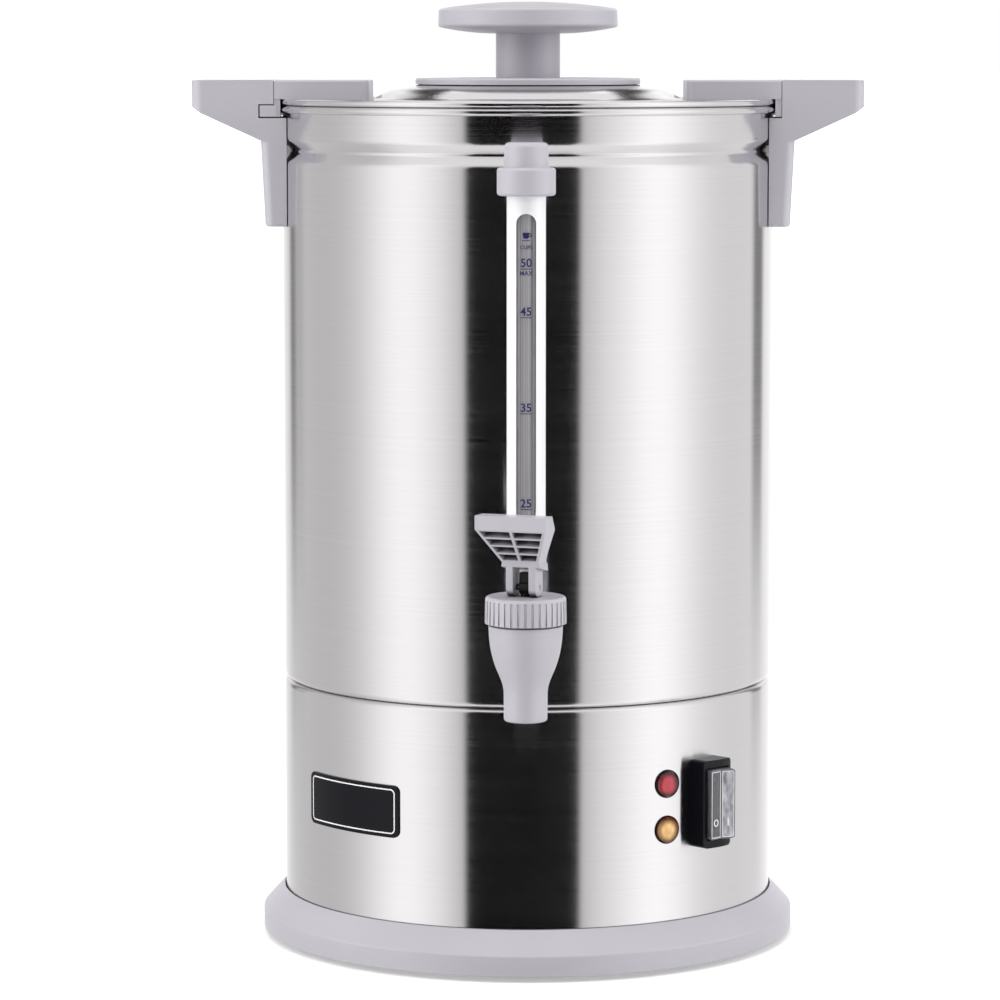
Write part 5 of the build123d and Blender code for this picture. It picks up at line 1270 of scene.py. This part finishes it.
@dataclass
class Controls(SubAssembly):
    """The rocker switch, the two lamps and the bare name plate."""

    frame_edge: float = 0.4
    rocker_edge: float = 0.3
    cap_edge: float = 0.2
    plate_edge: float = 0.15
    plate_angle: float = -44.85
    plate_width: float = 56.6
    plate_height: float = 23.0
    plate_corner: float = 3.0
    border_inset: float = 1.6
    border_width: float = 0.55
    border_thickness: float = 0.05
    switch_angle: float = 45.0
    rocker_reach: float = 117.9
    rocker_tilt: float = 14.0
    cap_half: float = 6.2
    cap_valley: float = 3.0
    bright_face_width: float = 5.0
    bright_face_tall: float = 28.6
    painted_light_thickness: float = 0.03
    rim_outside: tuple[float, float] = (0.5, 0.6)  # past the painted bright face, and corner radius
    rim_inside: tuple[float, float] = (0.05, 0.4)
    mark_height: float = 62.6
    mark_size: float = 3.2
    mark_slimness: float = 0.86
    mark_line: float = 0.42
    mark_steps: int = 40
    mark_thickness: float = 0.07

    def border(self) -> None:
        """Print the thin white border on the bare plate."""
        low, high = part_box("name_plate")
        verts = self.shop.nodes["name_plate"].data.vertices
        front = max(math.hypot(vert.co.x, vert.co.y) for vert in verts)
        wall = Wall(0.0, 0.0, front / MM, self.plate_angle)
        inset = 2 * self.border_inset
        corner = self.plate_corner - self.border_inset / 2
        outer = rounded_box(self.plate_width - inset, self.plate_height - inset, corner)
        inset += 2 * self.border_width
        corner -= self.border_width
        inner = rounded_box(self.plate_width - inset, self.plate_height - inset, corner)
        shape = bmesh.new()
        band(shape, inner, outer)
        move_up(shape, (low.z + high.z) / (2 * MM))
        mesh = wrapped("plate_border", shape, wall.point, self.border_thickness)
        self.shop.add("plate_border", mesh, "root", "plate_black", WHITE_INK_AND_HIGHLIGHT)

    def half_face(self, side: int) -> Facet:
        """One half of the cap's folded front.

        Args:
            side: -1 for the left half and 1 for the right half.

        Returns:
            The face, given by its middle.
        """
        tilt = math.radians(self.rocker_tilt)
        local_x = side * self.cap_half / 2
        local_y = self.cap_valley + self.cap_half / 2 * math.tan(tilt)
        right = local_x * math.cos(tilt) - local_y * math.sin(tilt)
        out = self.rocker_reach + local_x * math.sin(tilt) + local_y * math.cos(tilt)
        middle = Facet(0.0, 0.0, self.switch_angle).point(right, 0.0, out) / MM
        facing = self.switch_angle - self.rocker_tilt - side * self.rocker_tilt
        return Facet(middle.x, middle.y, facing)

    def lay(
        self, name: str, shape: bmesh.types.BMesh, side: int, thickness: float, finish: Finish
    ) -> None:
        """Lay a print or painted light on one half of the cap, where it rocks with the switch.

        Args:
            name: the piece's name.
            shape: its flat shape.
            side: -1 for the left half and 1 for the right half.
            thickness: thickness in millimetres.
            finish: its finish.
        """
        mesh = wrapped(name, shape, self.half_face(side).point, thickness)
        self.shop.add(name, mesh, "rocker", "switch_clear", finish)

    def rim(self, past: float, corner: float) -> list[Point]:
        """A line round one half of the cap, so far past its painted bright face."""
        return rounded_box(self.bright_face_width + past, self.bright_face_tall + past, corner)

    def switch_marks_and_painted_light(self) -> None:
        """Paint a bright face on the cap's right half and painted highlights round both halves, and
        print O and I on them.
        """
        low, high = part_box("switch_boot")
        middle = (low.z + high.z) / (2 * MM)
        # painted highlight: a bright sheet over the cap's right half
        bright_face = bmesh.new()
        bar(bright_face, 0.0, middle, self.bright_face_width, self.bright_face_tall)
        self.lay("switch_painted_bright_face", bright_face, 1, self.painted_light_thickness, PAINTED_BRIGHT_FACE)
        # painted highlights: thin white lines round both halves of the clear cap, where its edges
        # catch the light
        for name, side in (("switch_cap_edges", 1), ("switch_cap_painted_highlight_off", -1)):
            edges = bmesh.new()
            band(edges, self.rim(*self.rim_inside), self.rim(*self.rim_outside))
            move_up(edges, middle)
            self.lay(name, edges, side, self.painted_light_thickness, WHITE_INK_AND_HIGHLIGHT)
        half = self.mark_size / 2
        centre = (0.0, self.mark_height + half)
        slim = self.mark_slimness * half
        ring = bmesh.new()
        inner = oval(centre, slim - self.mark_line, half - self.mark_line, self.mark_steps)
        band(ring, inner, oval(centre, slim, half, self.mark_steps))
        self.lay("switch_mark_off", ring, -1, self.mark_thickness, WHITE_INK_AND_HIGHLIGHT)
        line = bmesh.new()
        bar(line, *centre, self.mark_line, self.mark_size)
        self.lay("switch_mark_on", line, 1, self.mark_thickness, WHITE_INK_AND_HIGHLIGHT)

    def build(self) -> None:
        """Dress the controls, print the plate's border and the switch's marks, and paint the switch
        cap's bright face and highlights.
        """
        self.shop.dress("switch_housing", edge=self.frame_edge)
        self.shop.dress("switch_rocker", edge=self.rocker_edge)
        self.shop.dress("switch_boot", edge=self.cap_edge)
        self.shop.dress("lamp_bezels", edge=self.rocker_edge)
        self.shop.dress("lamp_red_lens", "lamp_amber_lens", "lamp_bodies", "switch_terminals")
        self.shop.dress("name_plate", edge=self.plate_edge)
        self.border()
        self.switch_marks_and_painted_light()


@dataclass
class Underside(SubAssembly):
    """The heater, its controls and the cord gland."""

    gland_edge: float = 0.25

    def build(self) -> None:
        """Dress what stands under the tank."""
        self.shop.dress("heat_plate", "boil_element", "warm_element", "plate_nuts")
        self.shop.dress("boil_thermostat", "warm_thermostat", "thermostat_strap", "strap_screws")
        self.shop.dress("thermal_fuse", "terminal_block")
        self.shop.dress("cord_gland", "gland_nut", edge=self.gland_edge)


# ---------------------------------------------------------------- studio


@dataclass(frozen=True)
class Glow:
    """A soft bright part of the light tent, given by its direction from the urn."""

    azimuth: float
    spread: float
    level: float

    def at(self, azimuth: float) -> float:
        """Light that it adds in one direction, in degrees from the front to the right."""
        away = (azimuth - self.azimuth + 180.0) % 360.0 - 180.0
        return self.level * math.exp(-0.5 * (away / self.spread) ** 2)


@dataclass(frozen=True)
class Patch:
    """A darker or lighter patch of the light tent, with edges as soft as wished."""

    azimuth: float
    half_width: float
    edge: float
    gain: float
    low: float = -9.0
    high: float = 9.0
    fade: float = 0.1
    lean: float = 0.0

    @staticmethod
    def step(value: float) -> float:
        """Rise smoothly from 0 to 1 as the value does."""
        part = min(max(value, 0.0), 1.0)
        return part * part * (3.0 - 2.0 * part)

    def at(self, azimuth: float, height: float) -> float:
        """Share of the light that it leaves at one place of the tent.

        Args:
            azimuth: the direction in degrees from the front, to the right.
            height: height in metres.

        Returns:
            The share, 1 outside the patch.
        """
        middle = self.azimuth + self.lean * (height - self.low)
        away = abs((azimuth - middle + 180.0) % 360.0 - 180.0)
        mask = self.step((self.half_width + self.edge - away) / (2 * self.edge))
        mask *= self.step((height - self.low) / self.fade + 0.5)
        mask *= self.step((self.high - height) / self.fade + 0.5)
        return 1.0 + self.gain * mask


@dataclass
class Tent:
    """The round light tent that the urn's gloss mirrors: pale cloth with soft bands."""

    radius: float = 2.6
    low: float = -2.6
    high: float = 3.2
    columns: int = 720
    rows: int = 58
    base: float = 0.74
    side_lift: float = 0.11
    glows: tuple[Glow, ...] = (
        Glow(-58.5, 17.0, 0.61),
        Glow(62.0, 16.5, 0.49),
        Glow(176.0, 24.0, 0.37),
    )
    patches: tuple[Patch, ...] = (
        Patch(-2.0, 26.1, 1.6, -0.995, high=2.2, fade=0.5),
        Patch(-2.0, 30.5, 9.0, -0.22, high=2.2, fade=0.5),
        Patch(-142.5, 4.5, 4.0, -0.68, low=-0.15, fade=0.3),
        Patch(-133.0, 4.5, 4.0, -0.25, low=-0.15, fade=0.3),
        Patch(136.0, 6.5, 3.5, -0.72, low=-0.15, fade=0.3),
        Patch(180.0, 6.0, 3.0, -0.94, low=1.1, fade=0.35, lean=-15.0),
        Patch(180.0, 6.0, 3.0, -0.94, low=1.1, fade=0.35, lean=15.0),
        Patch(180.0, 18.0, 10.0, 0.30, low=1.35, fade=0.3),
    )

    def level(self, azimuth: float, height: float) -> float:
        """Light of the cloth at one place.

        Args:
            azimuth: the direction in degrees from the front, to the right.
            height: height in metres.

        Returns:
            The radiance, where 1 is white.
        """
        light = self.base + self.side_lift * math.sin(math.radians(azimuth))
        light += sum(glow.at(azimuth) for glow in self.glows)
        for patch in self.patches:
            light *= patch.at(azimuth, height)
        return light

    def build(self) -> None:
        """Hang the tent where only the urn's gloss sees it."""
        shape = bmesh.new()
        glow = shape.verts.layers.float_color.new("glow")
        grid: list[list[bmesh.types.BMVert]] = []
        for row in range(self.rows + 1):
            height = self.low + (self.high - self.low) * row / self.rows
            ring = []
            for column in range(self.columns):
                azimuth = 360.0 * column / self.columns - 180.0
                turn = math.radians(azimuth)
                place = (self.radius * math.sin(turn), -self.radius * math.cos(turn), height)
                vert = shape.verts.new(place)
                vert[glow] = (*(self.level(azimuth, height),) * 3, 1.0)
                ring.append(vert)
            grid.append(ring)
        for low, high in zip(grid, grid[1:]):
            for column in range(self.columns):
                after = (column + 1) % self.columns
                shape.faces.new((low[after], low[column], high[column], high[after]))
        tent = stand("light_tent", mesh_of("light_tent", shape))
        graph = Graph("tent_cloth")
        cloth = graph.add("ShaderNodeAttribute", attribute_name="glow")
        graph.set(Base_Color=(0.0, 0.0, 0.0), Specular_IOR_Level=0.0, Emission_Strength=1.0)
        graph.feed("Emission Color", cloth.outputs["Color"])
        tent.data.materials.append(graph.material)
        tent.visible_camera = False
        tent.visible_diffuse = False
        tent.visible_transmission = False
        tent.visible_shadow = False


@dataclass
class Softbox:
    """A large soft lamp that faces the urn."""

    name: str
    azimuth: float
    distance: float
    height: float
    width: float
    tall: float
    radiance: float
    elevation: float = 0.0

    def build(self) -> None:
        """Hang the lamp, where the urn's gloss doesn't see it."""
        lamp = bpy.data.lights.new(self.name, "AREA")
        lamp.shape = "RECTANGLE"
        lamp.size = self.width
        lamp.size_y = self.tall
        lamp.energy = self.radiance * math.pi * self.width * self.tall
        turn = math.radians(self.azimuth)
        lift = math.radians(self.elevation)
        level = math.cos(lift)
        back = Vector((math.sin(turn) * level, -math.cos(turn) * level, math.sin(lift)))
        holder = stand(self.name, lamp)
        holder.location = Vector((0.0, 0.0, self.height)) + back * self.distance
        holder.rotation_euler = back.to_track_quat("Z", "Y").to_euler()
        holder.visible_camera = False
        holder.visible_glossy = False


@dataclass
class Studio:
    """The plain floor, the light and the camera."""

    camera_place: Triple = (9.528, -1897.909, 399.642)
    camera_left: float = 0.666
    camera_down: float = 6.119
    lens: float = 151.62
    sensor: float = 36.0
    clip_end: float = 200.0
    floor_half: float = 60.0
    floor_colour: Colour = (0.80, 0.80, 0.80)
    floor_clouds: float = 3.0
    floor_shade: float = 0.985
    floor_roughness: float = 0.75
    floor_specular: float = 0.2
    # painted shade: share of the added white kept near the urn, and the distances over which it
    # rises to full
    floor_lift: float = 0.41
    lift_reach: Point = (0.3, 1.6)
    sky_fill: float = 0.34
    softboxes: tuple[Softbox, ...] = (
        Softbox("left_softbox", -78.0, 2.0, 0.3, 1.1, 2.4, 4.0),
        Softbox("right_softbox", 80.0, 2.0, 0.3, 1.1, 2.4, 4.1),
        Softbox("front_softbox", -14.0, 2.6, 0.4, 1.6, 2.0, 1.8, elevation=38.0),
        Softbox("top_softbox", 0.0, 2.2, 0.2, 2.0, 2.0, 2.0, elevation=80.0),
        Softbox("back_softbox", 180.0, 2.2, 0.3, 1.4, 2.0, 1.2, elevation=20.0),
    )

    @staticmethod
    def seen(nodes: bpy.types.Nodes, links: bpy.types.NodeLinks) -> bpy.types.NodeSocket:
        """Tell rays that see the background from rays that carry its light.

        Args:
            nodes: the node tree's nodes.
            links: the node tree's links.

        Returns:
            A socket that is 1 for camera, glossy and transmission rays and 0 for others.
        """
        rays = nodes.new("ShaderNodeLightPath").outputs
        total = rays["Is Camera Ray"]
        for kind in ("Is Glossy Ray", "Is Transmission Ray"):
            node = nodes.new("ShaderNodeMath")
            node.operation = "ADD"
            node.use_clamp = True
            links.new(total, node.inputs[0])
            links.new(rays[kind], node.inputs[1])
            total = node.outputs[0]
        return total

    def floor(self) -> None:
        """Lay the pale floor, which keeps the urn's shadow; its added white is weaker near the urn,
        a painted shade round it.
        """
        shape = bmesh.new()
        bar(shape, 0.0, 0.0, 2 * self.floor_half, 2 * self.floor_half)
        floor = stand("floor", mesh_of("floor", shape))
        graph = Graph("pale_floor")
        dark = shaded(self.floor_colour, self.floor_shade)
        graph.tint(graph.noise(self.floor_clouds), dark, self.floor_colour)
        graph.set(Roughness=self.floor_roughness, Specular_IOR_Level=self.floor_specular)
        graph.set(Emission_Color=(1.0, 1.0, 1.0))
        # painted shade: the added white fades from full far away to floor_lift near the urn, so the
        # floor is darker round it
        reach = graph.combine("VectorMath", "LENGTH", graph.place(1.0))
        rise = graph.ramp(reach, self.lift_reach, (self.floor_lift, 1.0), smooth=True)
        seen = self.seen(graph.nodes, graph.links)
        graph.feed("Emission Strength", graph.combine("Math", "MULTIPLY", seen, rise))
        floor.data.materials.append(graph.material)
        floor.visible_glossy = False

    def sky(self) -> None:
        """Light the scene evenly from all round, and show white behind the urn."""
        world = bpy.data.worlds.new("studio")
        bpy.context.scene.world = world
        world.use_nodes = True
        nodes = world.node_tree.nodes
        links = world.node_tree.links
        fill = nodes["Background"]
        fill.inputs["Strength"].default_value = self.sky_fill
        white = nodes.new("ShaderNodeBackground")
        mix = nodes.new("ShaderNodeMixShader")
        links.new(self.seen(nodes, links), mix.inputs[0])
        for index, light in enumerate((fill, white), start=1):
            light.inputs["Color"].default_value = (1.0, 1.0, 1.0, 1.0)
            links.new(light.outputs[0], mix.inputs[index])
        links.new(mix.outputs[0], nodes["World Output"].inputs["Surface"])

    def camera(self) -> None:
        """Stand the camera in front of the urn, a little above it."""
        data = bpy.data.cameras.new("camera")
        data.lens = self.lens
        data.sensor_width = self.sensor
        data.clip_end = self.clip_end
        camera = stand("camera", data)
        camera.location = Vector(self.camera_place) * MM
        tilt = math.radians(90.0 - self.camera_down)
        camera.rotation_euler = Euler((tilt, 0.0, math.radians(self.camera_left)))
        bpy.context.scene.camera = camera

    def build(self) -> None:
        """Set up the studio."""
        bpy.context.scene.view_settings.view_transform = "Standard"
        self.camera()
        self.floor()
        self.sky()
        Tent().build()
        for softbox in self.softboxes:
            softbox.build()


def main() -> None:
    """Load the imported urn, set up the studio and dress the urn piece by piece."""
    logging.basicConfig(level=logging.INFO, format="%(message)s")
    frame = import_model()
    Studio().build()
    shop = Workshop(frame["nodes"])
    for kind in (Vessel, Base, Lid, Handles, Gauge, Tap, Controls, Underside):
        before = len(shop.done)
        kind(shop).build()
        for name in shop.done[before:]:
            LOG.info("%s: %s", kind.__name__, name)


if __name__ == "__main__":
    main()
